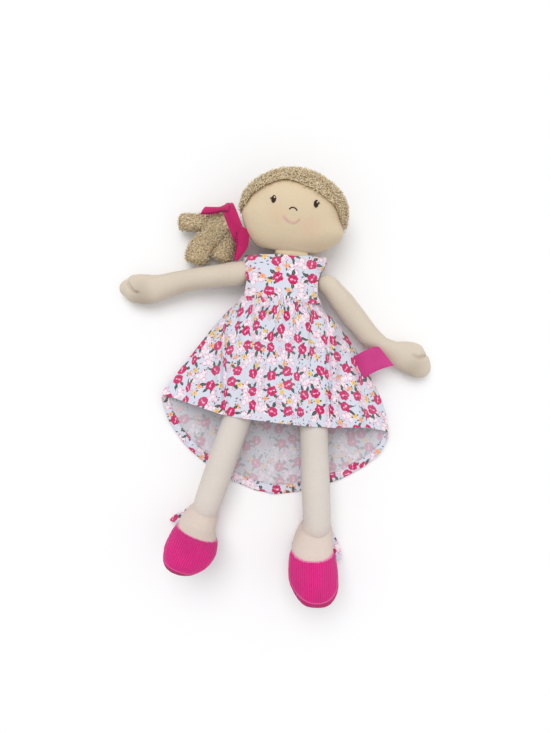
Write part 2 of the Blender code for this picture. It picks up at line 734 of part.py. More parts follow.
def build_bodice():
    shares = [
        (0.00, 0.925, -0.012, 0.98), (0.20, 0.965, -0.012, 1.0), (0.70, 1.00, -0.012, 1.0),
        (0.90, 1.00, 0.04, 0.94), (1.00, 0.93, 0.20, 0.80),
    ]
    bottom = waist_seam_y + gap
    stations = []
    for t, w, low, high in shares:
        stations.append((bottom + t * (bodice_top - bottom), w * bodice_half, low * bodice_depth, high * bodice_depth))
    length = bodice_top + overrun
    neckline = box((-neckline_half, bodice_top - neckline_depth, -overrun), (neckline_half, length, 2 * overrun))
    neckline_cut = cutter("neckline", neckline)
    armholes = []
    for side, word in SIDES:
        bm = swing_room(shoulder_place(side), arm_radius + armhole_ease, arm_headings(side, False))
        armholes.append(cutter("armhole_" + word, bm))
    wide = 2 * bodice_half
    half_gap = gap / 2
    keep = {
        "bodice_front": ((-wide, 0, bodice_middle + half_gap), (wide, 2 * wide, 2 * bodice_depth)),
        "bodice_back_right": ((-wide, 0, -bodice_depth), (-half_gap, 2 * wide, bodice_middle - half_gap)),
        "bodice_back_left": ((half_gap, 0, -bodice_depth), (wide, 2 * wide, bodice_middle - half_gap)),
    }
    for name, (low, high) in keep.items():
        bm = cage(stations, 12, power=0.72, closed=(False, True))
        panel = thicken(smooth(piece(name, bm, print_cloth)), cloth, -1)
        boolean(panel, cutter(name + "_half", box(low, high)), "INTERSECT")
        boolean(panel, neckline_cut)
        for armhole in armholes:
            boolean(panel, armhole)
        boolean(panel, floor_block)


def build_closure():
    """Hook and loop tape behind the back opening: the hooks on one panel, the loops on a tab from the other."""
    low = waist_seam_y + tape_width / 2
    high = low + tape_length
    hook_z = cloth + 2 * gap
    loop_z = hook_z + tape_wall + gap
    piece("hook_tape", box((gap / 2, low, hook_z), (tape_width, high, hook_z + tape_wall)), tape_nylon)
    loops = piece("loop_tape", box((-tape_width, low, loop_z), (tape_width, high, loop_z + tape_wall)), tape_nylon)
    step = box((-tape_width, low, hook_z), (-gap / 2, high, loop_z + tape_wall / 2))
    boolean(loops, cutter("loop_tape_root", step), "UNION")


width_shares = {
    RIGHT: [(0, .33), (.073, .414), (.167, .53), (.334, .641), (.51, .77), (.71, .898), (.89, 1.0), (1, 1.0)],
    LEFT: [(0, .343), (.10, .385), (.186, .47), (.293, .577), (.525, .793), (.713, .912), (.93, 1.0), (1, 1.0)],
}
seam_height_shares = [(0, 1.0), (0.15, 0.66), (0.5, 0.42), (1, 0.33)]


def skirt_plan(s, t, drop, power):
    """Where the skirt is, seen from above. s runs from the right seam at -1 to the left at 1, t down the cloth."""
    side = RIGHT if s < 0 else LEFT
    edge = abs(s) ** power
    y = waist_seam_y - t * (drop * (1 - edge) + side_drop[side] * edge)
    return s * sweep_half[side] * between(width_shares[side], t), y


def gathers(s, t, count):
    """Soft folds that open out from the gathered waist, and die away at the side seams."""
    wave = math.cos(math.pi * count * s + 0.7 * math.sin(3 * s)) + 0.45 * math.cos(math.pi * (count * 0.62) * s + 1.1)
    return fold_depth * wave * min(1, 0.35 + 1.3 * t) * max(0, 1 - s ** 6) / 1.45


def skirt_front(s, t):
    x, y = skirt_plan(s, t, front_drop, 2)
    seam_z = bodice_middle * between(seam_height_shares, t)
    crown = bodice_depth - cloth + (hem_rise - bodice_depth + cloth) * t
    start = min(1, 4 * t)
    round_share = (1 - start) * math.sqrt(max(0, 1 - s * s)) + start * (1 - abs(s) ** 2.4)
    fold = max(0, gathers(s, t, 9)) if t > 0 else 0
    return Vector((x, y, seam_z + gap / 2 + (crown - seam_z) * round_share + fold))


def skirt_back(s, t):
    x, y = skirt_plan(s, t, back_drop, 2.2)
    seam_z = bodice_middle * between(seam_height_shares, t) - cloth - gap / 2
    start = min(1, 5 * t)
    rise = (1 - start) * (1 - math.sqrt(max(0, 1 - s * s))) + start * abs(s) ** 7
    fold = max(0, gathers(s, t, 7)) * max(0, min(1, 3 * (t - 0.6)))
    return Vector((x, y, -sink + (seam_z + sink) * rise + fold))


def build_skirt():
    columns, rows = 26, 9
    low = (-2 * waist_half, waist_seam_y, -overrun)
    above_waist = cutter("above_waist", box(low, (2 * waist_half, overrun, 2 * overrun)))
    for name, surface, wall in (("skirt_front", skirt_front, cloth), ("skirt_back", skirt_back, cloth + sink)):
        bm = bmesh.new()
        bmesh.ops.create_grid(bm, x_segments=columns, y_segments=rows, size=1)
        for vert in bm.verts:
            vert.co = surface(vert.co.x, (1 - vert.co.y) / 2)
        panel = piece(name, bm, print_cloth)
        if panel.data.polygons[0].normal.z < 0:
            panel.data.flip_normals()
        boolean(thicken(panel, wall, 1), above_waist)
        if name == "skirt_back":
            boolean(panel, floor_block)


def build_label():
    """A folded label in the left side seam. It is bare."""
    across_share, down_share = 0.955, 0.475
    root = skirt_front(across_share, down_share) + UP * (cloth + 1.5 * fold_depth)
    out = (flat_heading(label_heading) + UP * label_rise_share).normalized()
    flap = pivot("label_flap", root)
    line = [out * label_length * share for share in (0, 0.33, 0.67, 1)]
    bm = strip(line, flat_heading(label_heading - math.pi / 2), [label_width] * 4, label_cloth)
    piece("label_tab", bm, label_satin, flap)


build_torso()
neck_base = build_neck()
nod = build_head(neck_base)
hair_room = build_hair_cap(nod)
bunch = build_ponytail(nod, hair_room)
build_strands(nod, bunch)
build_ribbon_tails(nod)
for side, word in SIDES:
    build_arm(side, word)
    ankle = build_leg(side, word)
    build_foot(side, word, ankle)
    build_heel_loop(side, word, ankle)
build_bodice()
build_closure()
build_skirt()
build_label()
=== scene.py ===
import math

import bmesh
import bpy
import numpy as np
from mathutils import Matrix, Vector
from mathutils.bvhtree import BVHTree
from mathutils.kdtree import KDTree


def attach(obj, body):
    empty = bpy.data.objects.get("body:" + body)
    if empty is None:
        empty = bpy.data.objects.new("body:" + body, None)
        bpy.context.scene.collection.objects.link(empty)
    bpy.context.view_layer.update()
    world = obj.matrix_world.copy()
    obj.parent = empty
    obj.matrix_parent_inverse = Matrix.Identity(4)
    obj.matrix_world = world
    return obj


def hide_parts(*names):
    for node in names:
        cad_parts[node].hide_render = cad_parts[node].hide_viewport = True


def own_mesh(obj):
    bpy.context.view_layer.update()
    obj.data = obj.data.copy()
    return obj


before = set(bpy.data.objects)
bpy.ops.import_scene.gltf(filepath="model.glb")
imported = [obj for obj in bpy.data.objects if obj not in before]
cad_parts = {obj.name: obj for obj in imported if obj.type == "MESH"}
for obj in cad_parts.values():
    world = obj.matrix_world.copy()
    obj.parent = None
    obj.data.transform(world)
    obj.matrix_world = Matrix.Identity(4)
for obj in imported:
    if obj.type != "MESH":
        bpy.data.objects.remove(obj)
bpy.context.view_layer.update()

scene = bpy.context.scene
mm = 0.001
up = Vector((0, 0, 1))
print("frame loaded:", len(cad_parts), "nodes")


# small helpers for meshes

def between(pairs, t):
    for (t0, v0), (t1, v1) in zip(pairs, pairs[1:]):
        if t <= t1:
            return v0 + (v1 - v0) * (t - t0) / (t1 - t0)
    return pairs[-1][1]


def smoothCurve(points, steps):
    # a smooth line through the points
    ends = [2 * points[0] - points[1], *points, 2 * points[-1] - points[-2]]
    found = []
    for k in range(steps + 1):
        spot = k / steps * (len(points) - 1)
        n = min(int(spot), len(points) - 2)
        t = spot - n
        a, b, c, d = ends[n:n + 4]
        found.append(0.5 * (2 * b + (c - a) * t + (2 * a - 5 * b + 4 * c - d) * t * t + (3 * b - a - 3 * c + d) * t ** 3))
    return found


def newObject(name, mesh):
    obj = bpy.data.objects.new(name, mesh)
    scene.collection.objects.link(obj)
    return obj


def fromBmesh(name, bm):
    mesh = bpy.data.meshes.new(name)
    bm.to_mesh(mesh)
    bm.free()
    return newObject(name, mesh)


def baked(obj):
    # what the modifiers make becomes the mesh
    mesh = bpy.data.meshes.new_from_object(obj.evaluated_get(bpy.context.evaluated_depsgraph_get()))
    obj.modifiers.clear()
    old = obj.data
    obj.data = mesh
    bpy.data.meshes.remove(old)
    mesh.name = obj.name
    return obj


def places(mesh):
    co = np.zeros(len(mesh.vertices) * 3)
    mesh.vertices.foreach_get("co", co)
    return co.reshape(-1, 3)


def normals(mesh):
    found = np.zeros(len(mesh.vertices) * 3)
    mesh.vertices.foreach_get("normal", found)
    return found.reshape(-1, 3)


def putPlaces(mesh, co):
    mesh.vertices.foreach_set("co", np.ascontiguousarray(co, dtype=np.float32).ravel())
    mesh.update()


def putFloats(mesh, name, values):
    layer = mesh.attributes.get(name) or mesh.attributes.new(name, "FLOAT", "POINT")
    layer.data.foreach_set("value", np.asarray(values, dtype=np.float32))


def putVectors(mesh, name, values):
    layer = mesh.attributes.get(name) or mesh.attributes.new(name, "FLOAT_VECTOR", "POINT")
    layer.data.foreach_set("vector", np.asarray(values, dtype=np.float32).ravel())


def putCloth(mesh, values):
    # cloth coordinates in metres for each vertex
    layer = mesh.uv_layers.new(name="cloth")
    index = np.zeros(len(mesh.loops), dtype=np.int32)
    mesh.loops.foreach_get("vertex_index", index)
    layer.data.foreach_set("uv", np.asarray(values, dtype=np.float32)[index].ravel())


def softForm(nodeName, name, voxel, rounds, grow=0.0, lobes=()):
    # a smooth stuffed form in the place of a CAD solid, with lobes (middle, radii, turn) grown into it
    bm = bmesh.new()
    bm.from_mesh(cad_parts[nodeName].data)
    bmesh.ops.remove_doubles(bm, verts=bm.verts, dist=1e-5)
    for middle, radii, turn in lobes:
        place = Matrix.Translation(Vector(middle) * mm) @ Matrix.Rotation(turn, 4, "Z") @ Matrix.Diagonal((*(r * mm for r in radii), 1))
        bmesh.ops.create_uvsphere(bm, u_segments=24, v_segments=14, radius=1.0, matrix=place)
    obj = fromBmesh(name, bm)
    remesh = obj.modifiers.new("even", "REMESH")
    remesh.mode = "VOXEL"
    remesh.voxel_size = voxel
    smoothed(obj, rounds)
    if grow:
        putPlaces(obj.data, places(obj.data) + normals(obj.data) * grow)
    obj.data.shade_smooth()
    return obj


def smoothed(obj, rounds, factor=0.5):
    # evens out the surface
    ease = obj.modifiers.new("ease", "SMOOTH")
    ease.factor = factor
    ease.iterations = rounds
    return baked(obj)


def fitted(obj, start, heading, stations):
    # moves the two edges seen from above; a station is the distance along, the low and the high edge, None where it stays
    co = places(obj.data) / mm
    ahead = np.array((*heading, 0.0))
    side = np.array((-heading[1], heading[0], 0.0)) * (-1 if heading[0] < 0 else 1)
    local = co - np.array((*start, 0.0))
    along, across = local @ ahead, local @ side
    spots, moves = [], []
    for spot, low, high in stations:
        near = across[np.abs(along - spot) < 1.5]
        if len(near):
            spots.append(spot)
            moves.append((near.min(), near.max(), near.min() if low is None else low, near.max() if high is None else high))
    lowNow, highNow, low, high = (np.interp(along, spots, column) for column in zip(*moves))
    share = (across - lowNow) / (highNow - lowNow)
    shift = (low - lowNow) * (1 - share) + (high - highNow) * share
    putPlaces(obj.data, (co + shift[:, None] * side) * mm)
    return smoothed(obj, 8)


def pressLine(obj, line, depth, width):
    # a soft groove, or with a negative depth a ridge, along a line on the surface
    co = places(obj.data)
    push = np.zeros(len(co))
    for k, point in enumerate(line):
        strength = depth * min(1, 0.3 + 0.1 * (len(line) - 1 - k))
        push = np.maximum(push, strength * np.exp(-np.sum((co - np.array(point)) ** 2, axis=1) / (width * width)))
    putPlaces(obj.data, co - normals(obj.data) * push[:, None])


def surfaceOf(obj):
    obj.data.calc_loop_triangles()
    return BVHTree.FromPolygons([v.co.copy() for v in obj.data.vertices],
                                [tuple(t.vertices) for t in obj.data.loop_triangles])


def onTop(tree, x, y, lift=0.0):
    hit, normal, _, _ = tree.ray_cast(Vector((x, y, 0.2)), Vector((0, 0, -1)))
    if hit is None:
        hit, normal, _, _ = tree.find_nearest(Vector((x, y, 0.03)))
    return hit + normal * lift


def tube(name, line, radius, sides=6):
    # a thread or cord of round section along a line
    bm = bmesh.new()
    rings = []
    last = len(line) - 1
    for k, point in enumerate(line):
        along = (line[min(k + 1, last)] - line[max(k - 1, 0)]).normalized()
        side = along.cross(up if abs(along.z) < 0.9 else Vector((1, 0, 0))).normalized()
        rise = side.cross(along)
        size = radius * (0.45 if k in (0, last) else 1)
        rings.append([bm.verts.new(point + (side * math.cos(a) + rise * math.sin(a)) * size)
                      for a in (2 * math.pi * j / sides for j in range(sides))])
    for a, b in zip(rings, rings[1:]):
        for j in range(sides):
            bm.faces.new((a[j], a[(j + 1) % sides], b[(j + 1) % sides], b[j]))
    bm.faces.new(rings[0])
    bm.faces.new(rings[-1])
    bmesh.ops.recalc_face_normals(bm, faces=bm.faces)
    obj = fromBmesh(name, bm)
    obj.data.shade_smooth()
    return obj


def joined(name, objects):
    # one mesh of several
    bm = bmesh.new()
    for obj in objects:
        bm.from_mesh(obj.data)
        mesh = obj.data
        bpy.data.objects.remove(obj)
        bpy.data.meshes.remove(mesh)
    made = fromBmesh(name, bm)
    made.data.shade_smooth()
    return made


def gridSheet(name, point, cloth, columns, rows):
    # a surface over s from start to end and t from 0 to 1, with its cloth coordinates in metres
    start, end, across = columns
    verts, flat, faces = [], [], []
    for r in range(rows + 1):
        for c in range(across + 1):
            s, t = start + (end - start) * c / across, r / rows
            verts.append(point(s, t))
            flat.append(cloth(s, t))
    for r in range(rows):
        for c in range(across):
            k = r * (across + 1) + c
            faces.append((k, k + 1, k + across + 2, k + across + 1))
    mesh = bpy.data.meshes.new(name)
    mesh.from_pydata(verts, [], faces)
    putCloth(mesh, flat)
    mesh.shade_smooth()
    return newObject(name, mesh)


def faceUp(obj, direction=(0, 0, 1)):
    total = sum((p.normal * p.area for p in obj.data.polygons), Vector())
    if total.dot(Vector(direction)) < 0:
        obj.data.flip_normals()
    return obj


def thicken(obj, wall, offset, inner=0):
    solid = obj.modifiers.new("cloth", "SOLIDIFY")
    solid.thickness = wall
    solid.offset = offset
    solid.material_offset = inner
    return baked(obj)


def paint(obj, *materials):
    obj.data.materials.clear()
    for material in materials:
        obj.data.materials.append(material)
    return obj


def settle(obj, body, slot, *nodeNames):
    # the piece goes with a body, in the place of its CAD nodes
    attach(obj, body)
    if nodeNames:
        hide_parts(*nodeNames)
    return obj


# small helpers for node trees

def rgb(r, g, b):
    def linear(c):
        c /= 255
        return c / 12.92 if c <= 0.04045 else ((c + 0.055) / 1.055) ** 2.4
    return (linear(r), linear(g), linear(b), 1)


def feed(tree, socket, value):
    if isinstance(value, bpy.types.NodeSocket):
        tree.links.new(value, socket)
    else:
        socket.default_value = value


def node(tree, kind, inputs=None, **settings):
    made = tree.nodes.new(kind)
    for key, value in settings.items():
        setattr(made, key, value)
    for key, value in (inputs or {}).items():
        feed(tree, made.inputs[key], value)
    return made


def calc(tree, operation, *values):
    return node(tree, "ShaderNodeMath", dict(enumerate(values)), operation=operation).outputs[0]


def vec(tree, operation, *values):
    made = node(tree, "ShaderNodeVectorMath", dict(enumerate(values)), operation=operation)
    return made.outputs["Value" if operation in ("LENGTH", "DOT_PRODUCT", "DISTANCE") else "Vector"]


def scaled(tree, vector, size):
    return node(tree, "ShaderNodeVectorMath", {0: vector, "Scale": size}, operation="SCALE").outputs["Vector"]


def mixed(tree, factor, a, b):
    made = tree.nodes.new("ShaderNodeMix")
    made.data_type = "RGBA"
    feed(tree, made.inputs[0], factor)
    feed(tree, made.inputs[6], a)
    feed(tree, made.inputs[7], b)
    return made.outputs[2]


def ramp(tree, value, low, high):
    made = node(tree, "ShaderNodeMapRange", {"Value": value, "From Min": low, "From Max": high})
    made.interpolation_type = "SMOOTHSTEP"
    return made.outputs["Result"]


def below(tree, value, edge, soft):
    # 1 where the value is under the edge
    return calc(tree, "SUBTRACT", 1.0, ramp(tree, value, edge - soft, edge + soft))


def group(name, inputs, outputs, kind="ShaderNodeTree"):
    kinds = {"v": "NodeSocketVector", "f": "NodeSocketFloat", "c": "NodeSocketColor", "g": "NodeSocketGeometry",
             "m": "NodeSocketMaterial", "i": "NodeSocketInt"}
    tree = bpy.data.node_groups.new(name, kind)
    for way, sockets in (("INPUT", inputs), ("OUTPUT", outputs)):
        for label, letter, *value in sockets:
            made = tree.interface.new_socket(label, in_out=way, socket_type=kinds[letter])
            if value:
                made.default_value = value[0]
    return tree, tree.nodes.new("NodeGroupInput").outputs, tree.nodes.new("NodeGroupOutput").inputs


def use(tree, made, inputs):
    placed = tree.nodes.new("ShaderNodeGroup")
    placed.node_tree = made
    for key, value in inputs.items():
        feed(tree, placed.inputs[key], value)
    return placed.outputs


# effects that several finishes share

def makeThreads():
    # crossing threads of a woven or knitted cloth, as a height from 0 to 1
    tree, given, out = group("threads", [("Place", "v"), ("Across", "f", 0.0005), ("Along", "f", 0.0005)],
                             [("Height", "f")])
    wander = node(tree, "ShaderNodeTexNoise", {"Vector": given["Place"], "Scale": 160.0, "Detail": 2.0}).outputs[0]
    spread = calc(tree, "MULTIPLY", calc(tree, "SUBTRACT", wander, 0.5), 0.0006)
    parts = node(tree, "ShaderNodeSeparateXYZ", {0: given["Place"]}).outputs
    waves = []
    for axis, size in ((0, "Across"), (1, "Along")):
        line = calc(tree, "ADD", parts[axis], calc(tree, "ADD", spread, calc(tree, "MULTIPLY", parts[2], 0.6)))
        turn = calc(tree, "DIVIDE", calc(tree, "MULTIPLY", line, math.pi), given[size])
        waves.append(calc(tree, "ABSOLUTE", calc(tree, "SINE", turn)))
    feed(tree, out["Height"], calc(tree, "MULTIPLY", calc(tree, "ADD", waves[0], waves[1]), 0.5))
    return tree


def makeMottle():
    # slow changes of tone over a piece, and a finer grain
    tree, given, out = group("mottle", [("Place", "v"), ("Size", "f", 0.03), ("Grain", "f", 0.002)],
                             [("Slow", "f"), ("Fine", "f")])
    for label, size, detail in (("Slow", "Size", 3.0), ("Fine", "Grain", 2.0)):
        scale = calc(tree, "DIVIDE", 1.0, given[size])
        cloud = node(tree, "ShaderNodeTexNoise", {"Vector": given["Place"], "Scale": scale, "Detail": detail})
        feed(tree, out[label], ramp(tree, cloud.outputs[0], 0.3, 0.7))
    return tree


def cells(tree, place, size, loose):
    made = node(tree, "ShaderNodeTexVoronoi", {"Vector": place, "Scale": 1 / size, "Randomness": loose},
                voronoi_dimensions="2D")
    return made.outputs


def petals(tree, away, turn, count, size, depth):
    # how far outside a flower's edge, in millimetres
    radius = vec(tree, "LENGTH", away)
    parts = node(tree, "ShaderNodeSeparateXYZ", {0: away}).outputs
    angle = calc(tree, "ADD", calc(tree, "ARCTAN2", parts[1], parts[0]), turn)
    wave = calc(tree, "ABSOLUTE", calc(tree, "COSINE", calc(tree, "MULTIPLY", angle, count / 2)))
    edge = calc(tree, "MULTIPLY", calc(tree, "ADD", calc(tree, "MULTIPLY", wave, depth), 1 - depth), size)
    return calc(tree, "SUBTRACT", radius, edge), radius, angle


def leaf(tree, away, turn, angle, out, long, wide):
    # 1 on a pointed leaf that stands out from the middle at an angle
    turned = node(tree, "ShaderNodeVectorRotate", {"Vector": away, "Angle": calc(tree, "SUBTRACT", -angle, turn)},
                  rotation_type="Z_AXIS")
    parts = node(tree, "ShaderNodeSeparateXYZ", {0: vec(tree, "SUBTRACT", turned.outputs[0], (out, 0, 0))}).outputs
    bend = calc(tree, "POWER", calc(tree, "ABSOLUTE", calc(tree, "DIVIDE", parts[0], long)), 2.0)
    flank = calc(tree, "ABSOLUTE", calc(tree, "DIVIDE", calc(tree, "ADD", parts[1], calc(tree, "MULTIPLY", bend, wide * 0.35)), wide))
    return below(tree, calc(tree, "ADD", flank, bend), 1.0, 0.16)


bloomSizes = {"rose": 17.2, "cluster": 12.4, "small": 7.6, "dash": 4.5, "loose": 0.66}


def makeBlooms():
    # roses with leaves on a loose grid, outlined clusters where no rose is near, then small flowers, sprigs and dashes
    tree, given, out = group("blooms", [("Cloth", "v"), ("Ground", "c"), ("Seed", "f", 0.0)], [("Colour", "c")])
    flat = scaled(tree, given["Cloth"], 1000.0)
    flat = vec(tree, "ADD", flat, node(tree, "ShaderNodeCombineXYZ", {0: given["Seed"], 1: given["Seed"]}).outputs[0])
    flow = node(tree, "ShaderNodeTexNoise", {"Vector": flat, "Scale": 0.45, "Detail": 1.0}).outputs["Color"]
    flat = vec(tree, "ADD", flat, scaled(tree, vec(tree, "SUBTRACT", flow, (0.5, 0.5, 0.5)), 2.2))
    flat = vec(tree, "MULTIPLY", flat, (1.0, 1.0, 0.0))
    ink = node(tree, "ShaderNodeTexNoise", {"Vector": flat, "Scale": 0.9, "Detail": 2.0}).outputs[0]

    def roses(place):
        return cells(tree, place, bloomSizes["rose"], bloomSizes["loose"])

    def clusters(place):
        return cells(tree, vec(tree, "ADD", place, (3.3, 5.1, 0)), bloomSizes["cluster"], 0.8)

    def farFrom(found, size, gap):
        return calc(tree, "GREATER_THAN", found["Distance"], gap / size)

    def both(a, b):
        return calc(tree, "MULTIPLY", a, b)

    def picks(found):
        return node(tree, "ShaderNodeSeparateColor", {0: found["Color"]}).outputs

    def clusterFree(place, gap):
        # 1 unless a cluster that shows is near
        near = clusters(place)
        middle = vec(tree, "SUBTRACT", near["Position"], (3.3, 5.1, 0))
        return calc(tree, "SUBTRACT", 1.0, both(calc(tree, "LESS_THAN", near["Distance"], gap / bloomSizes["cluster"]),
                                                farFrom(roses(middle), bloomSizes["rose"], 7.1)))

    colour = given["Ground"]
    inks = {"leaf": rgb(48, 70, 58), "vein": rgb(120, 142, 126), "line": rgb(232, 92, 142), "tintPatches": rgb(246, 238, 244),
            "peach": rgb(250, 176, 132), "yellow": rgb(246, 204, 112), "rust": rgb(216, 110, 84), "rose": rgb(224, 30, 106),
            "deep": rgb(172, 10, 72), "light": rgb(240, 92, 152), "fleck": rgb(252, 224, 234)}

    # dashes and dots
    dash = cells(tree, flat, bloomSizes["dash"], 0.9)
    pick = picks(dash)
    spot = dash["Position"]
    free = both(farFrom(roses(spot), bloomSizes["rose"], 6.6), farFrom(cells(tree, spot, bloomSizes["small"], 0.85), bloomSizes["small"], 2.7))
    away = vec(tree, "SUBTRACT", flat, spot)
    mark = leaf(tree, away, calc(tree, "MULTIPLY", pick[1], 6.28), 0.0, 0.0, 1.2, 0.42)
    tint = mixed(tree, calc(tree, "GREATER_THAN", pick[2], 0.62), inks["leaf"], inks["line"])
    colour = mixed(tree, both(both(mark, free), calc(tree, "LESS_THAN", pick[0], 0.7)), colour, tint)

    # outlined clusters
    found = clusters(flat)
    middle = vec(tree, "SUBTRACT", found["Position"], (3.3, 5.1, 0))
    shown = farFrom(roses(middle), bloomSizes["rose"], 7.1)
    pick = picks(found)
    away = vec(tree, "SUBTRACT", flat, middle)
    turn = calc(tree, "MULTIPLY", pick[1], 6.28)
    for angle, reach, size in ((0.0, 0.0, 3.5), (0.6, 4.2, 2.4), (2.6, 4.0, 2.8), (4.5, 3.9, 2.3)):
        shifted = node(tree, "ShaderNodeVectorRotate", {"Vector": away, "Angle": calc(tree, "SUBTRACT", -angle, turn)},
                       rotation_type="Z_AXIS").outputs[0]
        outside, radius, _ = petals(tree, vec(tree, "SUBTRACT", shifted, (reach, 0, 0)), turn, 5, size, 0.34)
        colour = mixed(tree, both(shown, below(tree, outside, 0.0, 0.12)), colour, inks["tintPatches"])
        colour = mixed(tree, both(shown, below(tree, calc(tree, "ABSOLUTE", outside), 0.17, 0.12)), colour, inks["line"])

    # small flowers of four kinds
    small = cells(tree, flat, bloomSizes["small"], 0.85)
    pick = picks(small)
    spot = small["Position"]
    away = vec(tree, "SUBTRACT", flat, spot)
    turn = calc(tree, "MULTIPLY", pick[1], 6.28)
    free = both(farFrom(roses(spot), bloomSizes["rose"], 6.9), clusterFree(spot, 5.2))
    warm = both(free, calc(tree, "LESS_THAN", pick[0], 0.56))
    twigs = both(free, calc(tree, "LESS_THAN", pick[0], 0.8))
    for angle, reach, long, wide in ((0.3, 2.9, 1.5, 0.6), (1.5, 2.8, 1.2, 0.5), (3.6, 2.7, 1.4, 0.55)):
        colour = mixed(tree, both(twigs, leaf(tree, away, turn, angle, reach, long, wide)), colour, inks["leaf"])
    outside, radius, _ = petals(tree, away, turn, 5, 2.5, 0.3)
    tint = mixed(tree, calc(tree, "GREATER_THAN", pick[2], 0.45), inks["yellow"], inks["peach"])
    colour = mixed(tree, both(warm, below(tree, outside, 0.0, 0.14)), colour, tint)
    colour = mixed(tree, both(warm, leaf(tree, away, turn, 2.4, 0.9, 1.2, 0.5)), colour, inks["yellow"])
    colour = mixed(tree, both(warm, below(tree, radius, 0.5, 0.15)), colour, inks["rust"])
    plain = both(free, calc(tree, "GREATER_THAN", pick[0], 0.8))
    outside, radius, _ = petals(tree, away, turn, 5, 2.2, 0.36)
    colour = mixed(tree, both(plain, below(tree, calc(tree, "ABSOLUTE", outside), 0.22, 0.14)), colour, inks["line"])
    colour = mixed(tree, both(plain, below(tree, radius, 0.55, 0.15)), colour, inks["peach"])

    # roses
    rose = roses(flat)
    pick = picks(rose)
    away = vec(tree, "SUBTRACT", flat, rose["Position"])
    turn = calc(tree, "MULTIPLY", pick[1], 6.28)
    for angle, reach, long, wide, least in ((-0.55, 6.5, 3.7, 1.4, 0.0), (0.36, 6.0, 3.0, 1.2, 0.0), (2.7, 5.8, 2.6, 1.1, 0.42),
                                            (1.3, 5.4, 2.3, 0.9, 0.6)):
        there = calc(tree, "GREATER_THAN", pick[0 if least > 0.5 else 2], least)
        colour = mixed(tree, both(there, leaf(tree, away, turn, angle, reach, long, wide)), colour, inks["leaf"])
        colour = mixed(tree, both(there, leaf(tree, away, turn, angle, reach, long * 0.8, 0.16)), colour, inks["vein"])
    outside, radius, angle = petals(tree, away, turn, 5, 4.7, 0.14)
    outside = calc(tree, "ADD", outside, calc(tree, "MULTIPLY", calc(tree, "SUBTRACT", ink, 0.5), 1.8))
    colour = mixed(tree, below(tree, outside, 0.0, 0.12), colour, mixed(tree, ramp(tree, ink, 0.45, 0.6), inks["rose"], inks["deep"]))
    inside = below(tree, outside, -0.35, 0.15)
    for bearing, reach, long, wide, tint in ((0.9, 1.2, 1.9, 1.2, "light"), (4.0, 1.7, 1.7, 0.75, "light"), (2.3, 2.0, 1.6, 0.34, "deep"),
                                             (5.6, 2.2, 1.5, 0.32, "deep"), (0.8, 1.0, 1.25, 0.42, "fleck"), (3.9, 1.9, 0.8, 0.26, "fleck")):
        colour = mixed(tree, both(inside, leaf(tree, away, turn, bearing, reach, long, wide)), colour, inks[tint])
    feed(tree, out["Colour"], colour)
    return tree


threads = makeThreads()
mottle = makeMottle()
blooms = makeBlooms()


def finish(name, roughness, sheen=0.0):
    # a new material: its tree, its shader and where a point lies
    material = bpy.data.materials.new(name)
    material.use_nodes = True
    tree = material.node_tree
    shader = tree.nodes["Principled BSDF"]
    shader.inputs["Roughness"].default_value = roughness
    shader.inputs["Specular IOR Level"].default_value = 0.25
    shader.inputs["Sheen Weight"].default_value = sheen
    shader.inputs["Sheen Roughness"].default_value = 0.5
    return material, tree, shader, tree.nodes.new("ShaderNodeTexCoord").outputs["Object"]


def bump(tree, shader, height, strength, depth, under=None):
    inputs = {"Height": height, "Strength": strength, "Distance": depth}
    if under is not None:
        inputs["Normal"] = under
    made = node(tree, "ShaderNodeBump", inputs)
    feed(tree, shader.inputs["Normal"], made.outputs[0])
    return made.outputs[0]


def skinFinish(name, tone, weave=0.0006, tintPatches=()):
    # cream knit cloth with a fine cross rib, with round patches of another colour mixed in at given points
    material, tree, shader, spot = finish(name, 0.85, 0.12)
    clouds = use(tree, mottle, {"Place": spot, "Size": 0.035, "Grain": 0.0016})
    weaveHeight = use(tree, threads, {"Place": spot, "Across": weave, "Along": weave * 1.15})["Height"]
    colour = mixed(tree, calc(tree, "MULTIPLY", clouds["Slow"], 0.5), rgb(*tone), rgb(*(c - 9 for c in tone)))
    colour = mixed(tree, calc(tree, "MULTIPLY", clouds["Fine"], 0.35), colour, rgb(*(c - 14 for c in tone)))
    colour = mixed(tree, calc(tree, "MULTIPLY", calc(tree, "SUBTRACT", 1.0, weaveHeight), 0.28), colour,
                   rgb(*(c - 34 for c in tone)))
    # each patch mixes a colour in round a point: blush on the cheeks, painted shade on the hands
    for middle, size, tint, share in tintPatches:
        apart = vec(tree, "DISTANCE", spot, middle)
        colour = mixed(tree, calc(tree, "MULTIPLY", below(tree, apart, size * 0.6, size * 0.5), share), colour, rgb(*tint))
    feed(tree, shader.inputs["Base Color"], colour)
    under = bump(tree, shader, clouds["Slow"], 0.3, 0.0006)
    bump(tree, shader, weaveHeight, 0.5, 0.00018, under)
    return material


def printFinish(name, ground, fade, seed):
    # woven cotton with small scattered flowers; fade is how far the print shows through from the other side
    material, tree, shader, spot = finish(name, 0.8, 0.1)
    cloth = node(tree, "ShaderNodeUVMap", uv_map="cloth").outputs[0]
    colour = use(tree, blooms, {"Cloth": cloth, "Ground": rgb(*ground), "Seed": seed})["Colour"]
    if fade:
        colour = mixed(tree, fade, colour, rgb(*ground))
    clouds = use(tree, mottle, {"Place": spot, "Size": 0.03, "Grain": 0.0012})
    weaveHeight = use(tree, threads, {"Place": cloth, "Across": 0.00042, "Along": 0.00042})["Height"]
    colour = mixed(tree, calc(tree, "MULTIPLY", clouds["Slow"], 0.10), colour, rgb(190, 194, 208))
    colour = mixed(tree, calc(tree, "MULTIPLY", calc(tree, "SUBTRACT", 1.0, weaveHeight), 0.14), colour,
                   rgb(150, 152, 170))
    feed(tree, shader.inputs["Base Color"], colour)
    under = bump(tree, shader, clouds["Slow"], 0.35, 0.0008)
    bump(tree, shader, weaveHeight, 0.4, 0.0001, under)
    return material


